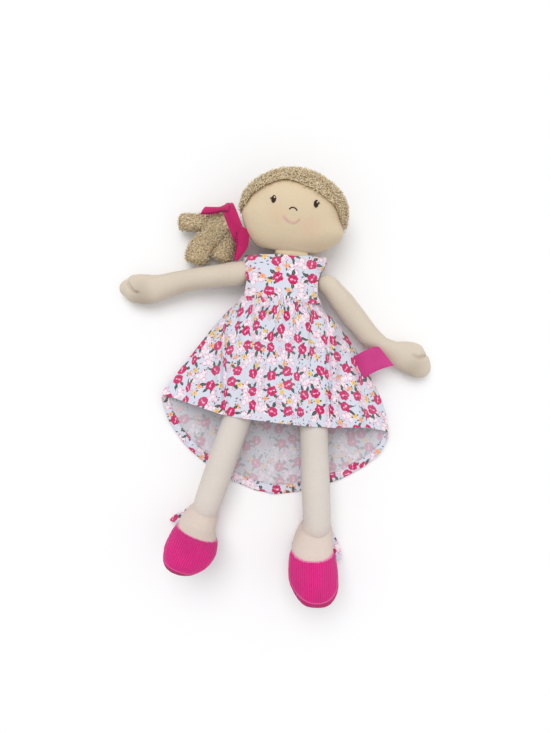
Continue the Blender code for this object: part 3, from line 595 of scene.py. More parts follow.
def knitFinish(name, tone, dark, size):
    # bright knit cloth
    material, tree, shader, spot = finish(name, 0.75, 0.2)
    clouds = use(tree, mottle, {"Place": spot, "Size": 0.02, "Grain": 0.0014})
    rib = use(tree, threads, {"Place": spot, "Across": size, "Along": size * 1.3})["Height"]
    colour = mixed(tree, calc(tree, "MULTIPLY", clouds["Slow"], 0.5), rgb(*tone), rgb(*dark))
    colour = mixed(tree, calc(tree, "MULTIPLY", calc(tree, "SUBTRACT", 1.0, rib), 0.45), colour, rgb(*dark))
    feed(tree, shader.inputs["Base Color"], colour)
    bump(tree, shader, rib, 0.6, 0.0003)
    return material


def corduroyFinish(name, tone, dark, pale, pitch):
    # ribs run along the shoe; their place across it comes in an attribute, and so does the pale edge
    material, tree, shader, spot = finish(name, 0.75, 0.12)
    across = node(tree, "ShaderNodeAttribute", attribute_name="across").outputs["Fac"]
    edge = node(tree, "ShaderNodeAttribute", attribute_name="edge").outputs["Fac"]
    welt = node(tree, "ShaderNodeAttribute", attribute_name="welt").outputs["Fac"]
    clouds = use(tree, mottle, {"Place": spot, "Size": 0.018, "Grain": 0.0009})
    wander = calc(tree, "MULTIPLY", clouds["Slow"], pitch * 0.3)
    turn = calc(tree, "MULTIPLY", calc(tree, "ADD", across, wander), math.pi / pitch)
    rib = calc(tree, "POWER", calc(tree, "ABSOLUTE", calc(tree, "SINE", turn)), 0.6)
    colour = mixed(tree, calc(tree, "MULTIPLY", clouds["Slow"], 0.5), rgb(*tone), rgb(*(c * 0.9 for c in tone)))
    colour = mixed(tree, calc(tree, "MULTIPLY", calc(tree, "SUBTRACT", 1.0, rib), 0.75), colour, rgb(*dark))
    colour = mixed(tree, calc(tree, "MULTIPLY", clouds["Fine"], 0.08), colour, rgb(*pale))
    colour = mixed(tree, calc(tree, "MULTIPLY", welt, 0.7), colour, rgb(*dark))
    colour = mixed(tree, edge, colour, rgb(*pale))
    feed(tree, shader.inputs["Base Color"], colour)
    under = bump(tree, shader, rib, 0.8, 0.0006)
    bump(tree, shader, clouds["Fine"], 0.35, 0.0003, under)
    return material


def plushFinish(name, light, mid, dark):
    # curly pile: each tuft has its own tone, and painted shade darkens it towards its root
    material, tree, shader, spot = finish(name, 0.8, 0.3)
    tone = node(tree, "ShaderNodeAttribute", attribute_name="tone").outputs["Fac"]
    tip = node(tree, "ShaderNodeAttribute", attribute_name="tip").outputs["Fac"]
    clouds = use(tree, mottle, {"Place": spot, "Size": 0.012, "Grain": 0.002})
    colour = mixed(tree, tone, rgb(*mid), rgb(*light))
    colour = mixed(tree, calc(tree, "MULTIPLY", clouds["Slow"], 0.4), colour, rgb(*mid))
    # painted shade deep in the pile: the dark colour towards each tuft's root
    colour = mixed(tree, calc(tree, "MULTIPLY", below(tree, tip, 0.45, 0.4), 0.8), colour, rgb(*dark))
    feed(tree, shader.inputs["Base Color"], colour)
    bump(tree, shader, clouds["Fine"], 0.3, 0.0003)
    return material


def threadFinish(name, tone, shine=0.55):
    material, tree, shader, spot = finish(name, shine, 0.1)
    clouds = use(tree, mottle, {"Place": spot, "Size": 0.004, "Grain": 0.0004})
    colour = mixed(tree, calc(tree, "MULTIPLY", clouds["Fine"], 0.5), rgb(*tone), rgb(*(c * 0.8 for c in tone)))
    feed(tree, shader.inputs["Base Color"], colour)
    bump(tree, shader, clouds["Fine"], 0.4, 0.0001)
    return material


def satinFinish(name, tone):
    material, tree, shader, spot = finish(name, 0.42)
    clouds = use(tree, mottle, {"Place": spot, "Size": 0.012, "Grain": 0.0008})
    weaveHeight = use(tree, threads, {"Place": spot, "Across": 0.0002, "Along": 0.0011})["Height"]
    colour = mixed(tree, calc(tree, "MULTIPLY", clouds["Slow"], 0.4), rgb(*tone), rgb(*(c * 0.86 for c in tone)))
    colour = mixed(tree, calc(tree, "MULTIPLY", weaveHeight, 0.15), colour, rgb(*(min(255, c * 1.25) for c in tone)))
    feed(tree, shader.inputs["Base Color"], colour)
    bump(tree, shader, weaveHeight, 0.3, 0.00012)
    return material


# node trees that make what repeats

def makeStitches():
    # a row of small stitches along each edge line of the given mesh
    tree, given, out = group("stitches", [("Line", "g"), ("Pitch", "f", 0.002), ("Length", "f", 0.0014),
                                          ("Thickness", "f", 0.0003), ("Thread", "m")], [("Row", "g")],
                             "GeometryNodeTree")
    curve = node(tree, "GeometryNodeMeshToCurve", {0: given["Line"]}).outputs[0]
    points = node(tree, "GeometryNodeCurveToPoints", {"Curve": curve, "Length": given["Pitch"]}, mode="LENGTH")
    bead = node(tree, "GeometryNodeMeshUVSphere", {"Segments": 6, "Rings": 4, "Radius": 1.0}).outputs[0]
    size = node(tree, "ShaderNodeCombineXYZ", {0: given["Thickness"], 1: given["Thickness"],
                                               2: calc(tree, "MULTIPLY", given["Length"], 0.5)}).outputs[0]
    row = node(tree, "GeometryNodeInstanceOnPoints", {"Points": points.outputs["Points"], "Instance": bead,
                                                      "Scale": size})
    turn = node(tree, "FunctionNodeAlignRotationToVector", {"Vector": points.outputs["Tangent"]}, axis="Z")
    feed(tree, row.inputs["Rotation"], turn.outputs[0])
    solid = node(tree, "GeometryNodeRealizeInstances", {0: row.outputs[0]}).outputs[0]
    smooth = node(tree, "GeometryNodeSetShadeSmooth", {0: solid}).outputs[0]
    feed(tree, out["Row"], node(tree, "GeometryNodeSetMaterial", {0: smooth, "Material": given["Thread"]}).outputs[0])
    return tree


def makePile():
    # curled tufts of pile over a surface, along its comb
    tree, given, out = group("pile", [("Base", "g"), ("Density", "f", 500000.0), ("Seed", "i", 0),
                                      ("Length", "f", 0.005), ("Curl", "f", 0.5), ("Thickness", "f", 0.0005),
                                      ("Loose", "f", 0.6), ("Plush", "m")], [("Pile", "g")], "GeometryNodeTree")

    def random3(seed):
        made = node(tree, "FunctionNodeRandomValue", data_type="FLOAT_VECTOR")
        made.inputs[0].default_value = (-1, -1, -1)
        made.inputs[1].default_value = (1, 1, 1)
        made.inputs["Seed"].default_value = seed
        return made.outputs[0]

    def random1(low, high, seed):
        made = node(tree, "FunctionNodeRandomValue", {2: low, 3: high, "Seed": seed}, data_type="FLOAT")
        return made.outputs[1]

    share = node(tree, "GeometryNodeInputNamedAttribute", {0: "share"}, data_type="FLOAT").outputs[0]
    comb = node(tree, "GeometryNodeInputNamedAttribute", {0: "comb"}, data_type="FLOAT_VECTOR").outputs[0]
    spread = node(tree, "GeometryNodeDistributePointsOnFaces",
                  {"Mesh": given["Base"], "Density": calc(tree, "MULTIPLY", given["Density"], share),
                   "Seed": given["Seed"]}, distribute_method="RANDOM")
    bend = given["Curl"]
    line = node(tree, "GeometryNodeCurvePrimitiveBezierSegment",
                {"Resolution": 4, "Start": (0, 0, 0),
                 "Start Handle": node(tree, "ShaderNodeCombineXYZ", {0: calc(tree, "MULTIPLY", bend, -0.5), 2: 0.45}).outputs[0],
                 "End Handle": node(tree, "ShaderNodeCombineXYZ", {0: bend, 2: 1.05}).outputs[0],
                 "End": node(tree, "ShaderNodeCombineXYZ", {0: bend, 2: 0.55}).outputs[0]}).outputs[0]
    along = node(tree, "GeometryNodeSplineParameter").outputs["Factor"]
    kept = node(tree, "GeometryNodeStoreNamedAttribute", {0: line, "Name": "tip", "Value": along},
                data_type="FLOAT", domain="POINT").outputs[0]
    thin = calc(tree, "SUBTRACT", 1.0, calc(tree, "MULTIPLY", calc(tree, "POWER", along, 2.0), 0.8))
    sized = node(tree, "GeometryNodeSetCurveRadius", {0: kept, "Radius": thin}).outputs[0]
    ring = node(tree, "GeometryNodeCurvePrimitiveCircle",
                {"Resolution": 3, "Radius": calc(tree, "DIVIDE", given["Thickness"], given["Length"])}).outputs[0]
    toMesh = node(tree, "GeometryNodeCurveToMesh", {"Curve": sized, "Profile Curve": ring})
    if "Scale" in toMesh.inputs:
        feed(tree, toMesh.inputs["Scale"], thin)
    lean = vec(tree, "ADD", vec(tree, "ADD", spread.outputs["Normal"], comb), scaled(tree, random3(3), given["Loose"]))
    rotation = node(tree, "FunctionNodeAlignRotationToVector", {"Vector": lean}, axis="Z").outputs[0]
    spin = node(tree, "FunctionNodeRotateRotation",
                {0: rotation, 1: node(tree, "ShaderNodeCombineXYZ", {2: random1(-3.1, 3.1, 5)}).outputs[0]},
                rotation_space="LOCAL").outputs[0]
    tufts = node(tree, "GeometryNodeInstanceOnPoints",
                 {"Points": spread.outputs["Points"], "Instance": toMesh.outputs[0], "Rotation": spin,
                  "Scale": calc(tree, "MULTIPLY", given["Length"], random1(0.7, 1.25, 8))}).outputs[0]
    toned = node(tree, "GeometryNodeStoreNamedAttribute", {0: tufts, "Name": "tone", "Value": random1(0.0, 1.0, 11)},
                 data_type="FLOAT", domain="INSTANCE").outputs[0]
    solid = node(tree, "GeometryNodeRealizeInstances", {0: toned}).outputs[0]
    smooth = node(tree, "GeometryNodeSetShadeSmooth", {0: solid}).outputs[0]
    feed(tree, out["Pile"], node(tree, "GeometryNodeSetMaterial", {0: smooth, "Material": given["Plush"]}).outputs[0])
    return tree


stitches = makeStitches()
pile = makePile()


def grown(obj, tree, values):
    # the mesh that the tree makes of the object, as plain geometry
    modifier = obj.modifiers.new("made", "NODES")
    modifier.node_group = tree
    for item in tree.interface.items_tree:
        if item.item_type == "SOCKET" and item.in_out == "INPUT" and item.name in values:
            modifier[item.identifier] = values[item.name]
    return baked(obj)


def stitchRow(name, line, pitch, length, thickness, thread):
    mesh = bpy.data.meshes.new(name)
    mesh.from_pydata([tuple(p) for p in line], [(k, k + 1) for k in range(len(line) - 1)], [])
    return grown(newObject(name, mesh), stitches,
                 {"Pitch": pitch, "Length": length, "Thickness": thickness, "Thread": thread})


def tufted(base, name, share, comb, settings):
    # pile on a copy of the base
    obj = newObject(name, base.data.copy())
    putFloats(obj.data, "share", share)
    putVectors(obj.data, "comb", comb)
    grown(obj, pile, settings)
    co = places(obj.data)
    co[:, 2] = np.maximum(co[:, 2], 0.1 * mm)
    putPlaces(obj.data, co)
    return obj


print("effects made")


# finishes

skinTones = {"face": (230, 211, 180), "arm": (221, 208, 190), "leg": (222, 213, 205), "foot": (225, 209, 198)}
faceSkin = skinFinish("faceCloth", skinTones["face"], tintPatches=[((-0.0107, 0.071, 0.06), 0.013, (234, 184, 158), 0.2),
                                                            ((0.018, 0.062, 0.058), 0.013, (234, 180, 158), 0.24)])
# the two dark patches at the hands are painted shade
armSkin = skinFinish("armCloth", skinTones["arm"], tintPatches=[((-0.131, 0.001, 0.012), 0.016, (150, 134, 112), 0.75),
                                                         ((0.1225, -0.0515, 0.012), 0.015, (158, 140, 118), 0.6)])
legSkin = skinFinish("legCloth", skinTones["leg"])
footSkin = skinFinish("footCloth", skinTones["foot"])
dressPrint = printFinish("dressPrint", (219, 223, 236), 0.0, 0.0)
# the reverse side: the print shows faintly through, and its greyer ground is partly painted shade, for the back panel's
# inside under the front
dressReverse = printFinish("dressReverse", (210, 210, 216), 0.66, 0.0)
ribbonKnit = knitFinish("ribbonKnit", (206, 34, 108), (156, 16, 76), 0.0011)
corduroy = corduroyFinish("shoeCorduroy", (226, 24, 132), (180, 8, 94), (246, 136, 186), 0.0019)
soleCorduroy = corduroyFinish("soleCorduroy", (178, 18, 100), (120, 6, 62), (214, 70, 140), 0.0019)
# the third colour is the painted shade at the tufts' roots
plush = plushFinish("hairPlush", (255, 248, 222), (238, 214, 170), (172, 142, 98))
darkThread = threadFinish("darkThread", (62, 38, 26), 0.45)
roseThread = threadFinish("mouthThread", (240, 196, 190))
whiteThread = threadFinish("whiteThread", (244, 242, 238))
seamThread = threadFinish("seamThread", (196, 182, 164), 0.8)
dressThread = threadFinish("dressThread", (212, 214, 228), 0.8)
ribbonThread = threadFinish("ribbonThread", (84, 4, 44), 0.8)
labelSatin = satinFinish("labelSatin", (206, 66, 138))
tapeCloth = knitFinish("closureTape", (226, 228, 236), (196, 198, 210), 0.0009)


# limbs

limb = {"voxel": 1.15 * mm, "rounds": 34, "grow": 0.3 * mm, "ankle": (11.6, 11.6, 11.6)}
limbs = {"torso": ("torso", "body", armSkin), "neck": ("neck", "neck", faceSkin),
         "armRight": ("arm_right", "arm_right", armSkin), "armLeft": ("arm_left", "arm_left", armSkin),
         "legRight": ("leg_right", "leg_right", legSkin), "legLeft": ("leg_left", "leg_left", legSkin),
         "footRight": ("foot_right", "foot_right", footSkin), "footLeft": ("foot_left", "foot_left", footSkin)}
lobes = {"armRight": [((-134.0, 10.6, 13.5), (12.5, 7.4, 7.2), 0.0)],
         "armLeft": [((113.5, -33.5, 13.5), (13.0, 7.4, 7.2), -0.05),
                     ((34.5, 18.0, 22.0), (8.5, 10.0, 9.5), 0.0)],
         "neck": [((4.0, 42.4, 34.6), (17.0, 4.4, 7.0), -0.06)],
         "footRight": [((-60.0, -189.6, 27.0), (11.3, 11.3, 11.4), 0.0)], "footLeft": [((40.6, -199.9, 29.5), limb["ankle"], 0.0)]}
stuffed = {name: paint(softForm(cadName, name, limb["voxel"], limb["rounds"], limb["grow"], lobes.get(name, ())), skin)
           for name, (cadName, _, skin) in limbs.items()}


def stretched(obj, start, heading, table):
    # moves the form along its heading by a table of distances and moves
    co = places(obj.data) / mm
    ahead = np.array(heading)
    along = (co[:, :2] - np.array(start)) @ ahead
    co[:, :2] += np.interp(along, *zip(*table))[:, None] * ahead
    putPlaces(obj.data, co * mm)


armFits = {
    "armRight": {"start": (0, 0), "heading": (-1, 0), "moves": [(145, 0), (153, -1.9)],
                 "stations": [(38, 13.4, 35.4), (60, 10.6, 31.6), (88, 6.0, 26.2), (115, -5.0, 20.2), (122, -7.8, 19.7),
                              (131, -8.8, 19.2), (138, -7.9, 19.0), (145, -6.2, 17.4), (148.4, -2.9, 14.6)]},
    "armLeft": {"start": (36, 16), "heading": (0.7507, -0.6607), "moves": [(85, 0), (101.5, 6.0), (118, 7.4)],
                "stations": [(9, -7.0, 12.3), (23.6, -9.3, 12.4), (43, -11.0, 9.9), (60.6, -12.5, 7.3), (73.7, -10.4, 7.3),
                             (84.3, -8.6, 13.4), (94, -6.8, 22.2), (103, -5.2, 25.6), (112, -2.8, 23.6), (120, 0.4, 20.2)]},
}
for name, fit in armFits.items():
    stretched(stuffed[name], fit["start"], fit["heading"], fit["moves"])
    fitted(stuffed[name], fit["start"], fit["heading"], fit["stations"])

co = places(stuffed["neck"].data) / mm
co[:, 0] += (np.clip(co[:, 0], -10.6, 18.4) - co[:, 0]) * 0.85 * np.clip((co[:, 1] - 30) / 6, 0, 1)
putPlaces(stuffed["neck"].data, co * mm)


def flatPoint(x, y, z=0.0):
    return Vector((x * mm, y * mm, z * mm))


def lineOn(obj, points, lift=0.0, steps=40):
    tree = surfaceOf(obj)
    return [onTop(tree, p.x, p.y, lift) for p in smoothCurve([flatPoint(*p) for p in points], steps)]


handLines = {
    "armRight": {"thumb": [(-145.3, 9.6), (-142.3, 5.6), (-138.4, 1.7), (-133.8, 1.0)],
                 "seam": [(-47, 32), (-70, 28.5), (-93, 24), (-110, 19), (-122, 15.5)]},
    "armLeft": {"thumb": [(137.4, -39.2), (133.6, -41.6), (129.6, -43.4), (125.2, -44.0), (120.4, -42.4)],
                "seam": [(46, 20), (58, 7), (76, -12), (94, -26), (104, -30)]},
}
for name, lines in handLines.items():
    pressLine(stuffed[name], lineOn(stuffed[name], lines["thumb"]), 3.3 * mm, 1.35 * mm)
    pressLine(stuffed[name], lineOn(stuffed[name], lines["seam"]), 0.35 * mm, 0.8 * mm)
    row = stitchRow(name + "Seam", lineOn(stuffed[name], lines["seam"], 0.05 * mm), 1.9 * mm, 1.5 * mm, 0.16 * mm, seamThread)
    settle(row, limbs[name][1], "skin_cloth")
for name, (cadName, body, _) in limbs.items():
    settle(stuffed[name], body, "skin_cloth", cadName)
for cadName, name, body in (("shoulder_tab_right", "shoulderTabRight", "shoulder_right"),
                            ("shoulder_tab_left", "shoulderTabLeft", "shoulder_left"),
                            ("hip_tab_right", "hipTabRight", "hip_right"), ("hip_tab_left", "hipTabLeft", "hip_left")):
    tab = paint(softForm(cadName, name, 0.5 * mm, 6), armSkin)
    settle(tab, body, "skin_cloth", cadName)
print("limbs made")


# head and face

headShape = {"middle": (3.7, 79.5), "drop": 3.3, "ends": (80.0, 66.0), "cheeks": (2.6, 6.2)}


def headEased(obj, out):
    # lowers the crown, lifts the chin and moves the cheeks below the hair's ends outwards, or for the hair inwards
    co = places(obj.data) / mm
    crown = np.clip((co[:, 1] - 84) / 26, 0, 1)
    co[:, 1] -= headShape["drop"] * crown * crown * (3 - 2 * crown)
    away = co[:, :2] - np.array(headShape["middle"])
    reach = np.linalg.norm(away, axis=1)[:, None] + 1e-6
    ends, cheeks = (np.where(away[:, 0] < 0, *headShape[key]) for key in ("ends", "cheeks"))
    low = np.clip((ends + 8 * out - co[:, 1]) / (7 + 8 * out), 0, 1)
    low = low * low * (3 - 2 * low)
    front = np.clip((co[:, 2] - 10) / 14, 0, 1)
    side = np.clip((reach[:, 0] - 22) / 16, 0, 1) * np.clip((co[:, 1] - 48) / 14, 0, 1)
    chin = np.clip((66 - co[:, 1]) / 14, 0, 1)
    lift = (-2.3 + 1.0 * np.clip((co[:, 0] + 14) / 16, 0, 1)) * chin * chin * (3 - 2 * chin)
    co[:, :2] += away / reach * ((cheeks * side if out else -4.5) * low * front)[:, None]
    co[:, 1] += lift * out
    putPlaces(obj.data, co * mm)
    return low * front


head = paint(softForm("head", "head", 1.1 * mm, 30, 0.3 * mm), faceSkin)
headEased(head, True)
smoothed(head, 20)
headTree = surfaceOf(head)


def embroidery(name, rows, radius, thread):
    # threads laid side by side, each from one edge of the shape to the other
    made = []
    for k, (start, end, lift) in enumerate(rows):
        line = []
        for j in range(7):
            t = j / 6
            spot = start.lerp(end, t)
            line.append(onTop(headTree, spot.x, spot.y, (0.1 + lift * math.sin(math.pi * t)) * mm))
        made.append(tube(name + str(k), line, radius))
    return paint(joined(name, made), thread)


def ovalRows(x, y, half, tall, turn, count, lift):
    rows = []
    c, s = math.cos(turn), math.sin(turn)
    for k in range(count):
        a = -1 + 2 * (k + 0.5) / count
        width = half * math.sqrt(max(0.02, 1 - a * a))
        ends = [flatPoint(x + w * c - a * tall * s, y + w * s + a * tall * c) for w in (-width, width)]
        rows.append((*ends, lift))
    return rows


face = {"tilt": math.radians(-5.2), "eyes": [(-14.3, 82.7), (21.9, 80.6)],
        "nose": [(-0.4, 74.7), (0.9, 75.7), (2.3, 76.0), (3.7, 75.7), (5.0, 74.9), (5.8, 73.9)],
        "mouth": [(-4.9, 68.8), (-2.8, 66.8), (-0.4, 65.3), (3.4, 64.3), (6.2, 65.2), (8.7, 67.3)]}
for side, (x, y) in zip(("Right", "Left"), face["eyes"]):
    eye = embroidery("eye" + side, ovalRows(x, y, 2.2, 3.2, face["tilt"], 14, 0.5), 0.26 * mm, darkThread)
    glint = embroidery("glint" + side, ovalRows(x + 0.75, y + 1.3, 0.75, 0.7, 0.4, 3, 0.95), 0.24 * mm, whiteThread)
    sign = -1 if x < 0 else 1
    lash = embroidery("lash" + side, [(flatPoint(x + sign * 1.9, y + 0.4 * k), flatPoint(x + sign * (3.6 - 0.5 * k), y + 0.7 + 0.7 * k), 0.2)
                                      for k in (0, 1, 2)], 0.18 * mm, darkThread)
    for part in (eye, glint, lash):
        settle(part, "head", "skin_cloth")


def faceLine(points, shift=0.0):
    # a line over the face, moved down by the shift
    return [onTop(headTree, p.x, p.y - shift * mm, 0.12 * mm) for p in smoothCurve([flatPoint(*p) for p in points], 40)]


nose = stitchRow("nose", faceLine(face["nose"]), 0.5 * mm, 1.3 * mm, 0.6 * mm, darkThread)
mouth = joined("mouth", [stitchRow("lip" + str(k), faceLine(face["mouth"], k * 1.35 - 0.4), 0.7 * mm, 1.5 * mm, 0.4 * mm, roseThread)
                         for k in (0, 1)])
paint(mouth, roseThread)
for part in (nose, mouth):
    settle(part, "head", "skin_cloth")
settle(head, "head", "skin_cloth", "head")
print("face made")


# hair

hair = {"Density": 720000.0, "Seed": 4, "Length": 3.3 * mm, "Curl": 0.62, "Thickness": 0.52 * mm, "Loose": 0.85,
        "Plush": plush}


def plushBase(base):
    paint(base, plush)
    putFloats(base.data, "tone", np.full(len(base.data.vertices), 0.45))
    # the base under the tufts takes a little of the root's painted shade
    putFloats(base.data, "tip", np.full(len(base.data.vertices), 0.62))
    return places(base.data), normals(base.data)


def combed(co, no, start):
    # away from a point, along the surface
    flow = co - np.array(start)
    flow -= no * np.sum(flow * no, axis=1)[:, None]
    return flow / (np.linalg.norm(flow, axis=1)[:, None] + 1e-9)


cap = softForm("hair_cap", "hairCap", 1.0 * mm, 12, -0.9 * mm)
bare = headEased(cap, False)
co, no = plushBase(cap)
away = co - np.array((0.004, 0.079, 0.034))
outward = np.sum(no * away, axis=1) / np.linalg.norm(away, axis=1)
capPile = tufted(cap, "hairCapPile", np.clip((outward + 0.45) * 3, 0, 1) * np.clip(1 - 2 * bare, 0, 1),
                 combed(co, no, (0.006, 0.14, 0.035)) * 0.8, hair)
settle(capPile, "head", "hair_plush")
settle(cap, "head", "hair_plush", "hair_cap")

tailPivot = Vector((-0.0501, 0.06897, 0.0294))
tailOut = Vector((-0.8796, -0.4756, 0))
# the middle line of each end of the ponytail, its half width and half height, and how much of it the root carries
strands = {
    "strandUpper": {"line": [(-50.5, 75.0, 27.0), (-61.4, 73.0, 23.0), (-70.9, 71.5, 17.5), (-81.3, 70.4, 14.2),
                             (-91.8, 70.0, 12.4), (-100.6, 69.3, 11.6)],
                    "half": (5.6, 6.5), "tall": 5.6, "split": 0.30, "cad": "hair_strand_upper", "body": "strand_upper"},
    "strandMiddle": {"line": [(-50.0, 70.5, 27.5), (-59.5, 66.0, 23.5), (-68.5, 59.2, 17.5), (-76.2, 51.7, 13.6),
                              (-82.0, 43.0, 12.2), (-84.0, 33.4, 11.6)],
                     "half": (6.4, 9.7), "tall": 6.4, "split": 0.32, "cad": "hair_strand_middle", "body": "strand_middle"},
    "strandLower": {"line": [(-47.0, 65.5, 26.0), (-51.2, 59.8, 21.0), (-55.2, 51.6, 15.8), (-58.8, 44.4, 13.0),
                             (-61.2, 37.4, 11.8)],
                    "half": (4.8, 8.2), "tall": 5.6, "split": 0.30, "cad": "hair_strand_lower", "body": "strand_lower"},
}


def strandForm(name, strand, start, end):
    # a thick flat plush end with blunt tips, between two shares of its line
    line = smoothCurve([flatPoint(*p) for p in strand["line"]], 60)
    bm = bmesh.new()
    rings = []
    for k in range(41):
        share = k / 40
        spot = (start + (end - start) * share) * 60
        low = min(int(spot), 59)
        point = line[low].lerp(line[low + 1], spot - low)
        along = (line[min(low + 2, 60)] - line[max(low - 1, 0)]).normalized()
        side = along.cross(up).normalized()
        rise = side.cross(along)
        closing = (1 - abs(2 * share - 1) ** 14) ** (1 / 3)
        half = between(list(zip((0, 0.75), strand["half"])), spot / 60) * closing * mm
        tall = strand["tall"] * closing * mm
        ring = []
        for j in range(28):
            a = 2 * math.pi * j / 28
            c, s = math.cos(a), math.sin(a)
            ring.append(bm.verts.new(point + side * math.copysign(abs(c) ** 0.75, c) * half
                                     + rise * math.copysign(abs(s) ** 0.75, s) * tall))
        rings.append(ring)
    for a, b in zip(rings, rings[1:]):
        for j in range(28):
            bm.faces.new((a[j], a[(j + 1) % 28], b[(j + 1) % 28], b[j]))
    bmesh.ops.remove_doubles(bm, verts=bm.verts, dist=1e-6)
    bmesh.ops.recalc_face_normals(bm, faces=bm.faces)
    obj = fromBmesh(name, bm)
    obj.data.shade_smooth()
    return obj


def coated(base, body, cadName, start, bare=0.0):
    # pile over a plush form, left off within a reach of the ribbon's middle
    co, no = plushBase(base)
    apart = (co - np.array(tailPivot)) @ np.array(tailOut)
    coat = tufted(base, base.name + "Pile", np.clip((apart - bare) / 0.002, 0, 1), combed(co, no, start) * 0.6,
                  {**hair, "Length": 3.0 * mm, "Loose": 0.8, "Seed": 7})
    settle(coat, body, "hair_plush")
    settle(base, body, "hair_plush", cadName)


for name, strand in strands.items():
    coated(strandForm(name, strand, strand["split"] - 0.07, 1.0), strand["body"], strand["cad"], tailPivot)
root = joined("ponytailRoot", [strandForm("part" + name, strand, 0.0, strand["split"] + 0.07) for name, strand in strands.items()])
remesh = root.modifiers.new("even", "REMESH")
remesh.mode = "VOXEL"
remesh.voxel_size = 0.8 * mm
smoothed(root, 4)
root.data.shade_smooth()
coated(root, "head", "ponytail_root", tailPivot, 0.0065)
print("hair made")


# ribbon

ribbon = {"half": 15.2, "tall": 9.6, "wide": 11.6, "wall": 0.9}


def bandPoint(s, t):
    # a folded knit band round the bunch, s round it and t across its width
    turned = Matrix((Vector((-0.4756, 0.8796, 0)), tailOut, up)).transposed()
    a = s * 2 * math.pi
    pleat = 0.6 * math.cos(2 * math.pi * (2 * t - 1) + 1.1 * math.sin(a)) * math.sin(math.pi * t)
    bulge = 1.7 * math.sin(math.pi * t) ** 0.7 + pleat
    narrow = 1 - 0.08 * max(0, math.cos(a)) ** 3
    local = Vector(((ribbon["half"] + bulge) * math.cos(a), (t - 0.5) * ribbon["wide"] * narrow - 1.2 * math.cos(a),
                    (ribbon["tall"] + bulge) * math.sin(a)))
    return tailPivot + turned @ (local * mm)


ribbonBand = faceUp(gridSheet("ribbonBand", bandPoint, lambda s, t: (s * 0.07, t * 0.0115), (0, 1, 96), 16))
thicken(ribbonBand, ribbon["wall"] * mm, 0)
paint(ribbonBand, ribbonKnit)
settle(ribbonBand, "head", "ribbon_knit", "ribbon_band")

# left and right edge of each tail from the knot to its point
tails = {
    "ribbonTailShort": {"left": [(-54.0, 75.0, 40.0), (-61.5, 75.6, 35.0), (-70.0, 74.6, 30.5), (-80.6, 74.6, 27.0)],
                        "right": [(-54.0, 83.6, 39.0), (-62.0, 80.6, 34.5), (-69.0, 80.8, 31.0), (-76.6, 81.4, 27.5)],
                        "body": "ribbon_short", "cad": "ribbon_tail_short"},
    "ribbonTailLong": {"left": [(-48.8, 66.0, 40.0), (-47.6, 60.5, 37.5), (-46.3, 49.1, 33.5),
                                (-47.1, 40.9, 30.5), (-47.7, 34.6, 28.5)],
                       "right": [(-36.0, 61.0, 36.5), (-35.2, 55.4, 33.5), (-35.9, 47.2, 31.0),
                                 (-41.1, 38.7, 29.5), (-45.0, 34.0, 28.5)],
                       "body": "ribbon_long", "cad": "ribbon_tail_long"},
}
for name, tail in tails.items():
    edges = [smoothCurve([flatPoint(*p) for p in tail[key]], 40) for key in ("left", "right")]

    def tailPoint(s, t):
        spot = round(t * 40)
        crown = math.sin(math.pi * min(1, max(0, s)))
        return edges[0][spot].lerp(edges[1][spot], s) + up * (1.6 * crown * mm)

    strip = faceUp(gridSheet(name, tailPoint, lambda s, t: (s * 0.01, t * 0.03), (0, 1, 14), 40))
    thicken(strip, ribbon["wall"] * mm, 0)
    strip.data.set_sharp_from_angle(angle=math.radians(55))
    paint(strip, ribbonKnit)
    row = stitchRow(name + "Stitches", [tailPoint(0.09, k / 40) + up * 1.05 * mm for k in range(3, 40)], 2.4 * mm, 1.5 * mm, 0.55 * mm,
                    ribbonThread)
    settle(row, tail["body"], "ribbon_knit")
    settle(strip, tail["body"], "ribbon_knit", tail["cad"])
print("ribbon made")


# shoes

shoes = {
    "Right": {"across": (-0.9455, 0.3255, -0.0026), "toes": (-0.1847, -0.5298, 0.8278), "ankle": (-0.06027, -0.18924, 0.02764)},
    "Left": {"across": (-0.9994, -0.035, -0.0039), "toes": (0.0242, -0.7621, 0.647), "ankle": (0.04058, -0.1999, 0.03027)},
}
shoes["Right"] |= {"up": (0.2681, 0.7832, 0.5611), "loop": (-2.5, -11.5, 0.39, 1.0), "heel": -0.5,
                   "shift": [(0, 0, 0), (0.12, -0.8, -0.8), (0.25, -2.6, -3.6), (0.33, 0.0, -2.4), (0.42, 1.2, -0.4),
                              (0.52, 2.4, 2.2), (0.65, 3.6, 4.4), (0.84, 2.0, 4.2), (1, -1.6, 3.6)]}
shoes["Left"] |= {"up": (-0.0257, 0.6465, 0.7625), "loop": (-5.0, -9.5, -0.1, 1.25), "heel": -1.2,
                  "shift": [(0, 0, 0), (0.3, -4.0, 0.2), (0.5, -3.6, 0.4), (0.7, -3.0, 0.0),
                             (0.83, -1.4, -0.8), (0.92, -0.8, -1.5), (1, -0.5, -2.0)]}


loopRoots = {"Right": (-0.07417, -0.18719, 0.00799), "Left": (0.05882, -0.20234, 0.0108)}


def alongFoot(co, shoe):
    # how far ahead of the ankle, seen from above, in millimetres
    ahead = np.array(shoe["toes"])[:2]
    return (co[:, :2] - np.array(shoe["ankle"])[:2] / mm) @ (ahead / np.linalg.norm(ahead))


def footEased(obj, shoe, drawn=0.0):
    # moves the foot by its table of share of the length, x and y, and draws the heel in
    co = places(obj.data) / mm
    along = alongFoot(co, shoe)
    spots, dx, dy = zip(*shoe["shift"])
    for axis, moves in ((0, dx), (1, dy)):
        co[:, axis] += np.interp(along / shoe["length"], spots, moves)
    middle = np.array(shoe["ankle"]) / mm
    across = np.array(shoe["across"])
    side = (co - middle) @ across
    inward = drawn * np.clip((0.42 - along / shoe["length"]) / 0.13, 0, 1) * np.clip(np.abs(side) / 6, 0, 1)
    co -= (np.sign(side) * inward)[:, None] * across
    putPlaces(obj.data, co * mm)


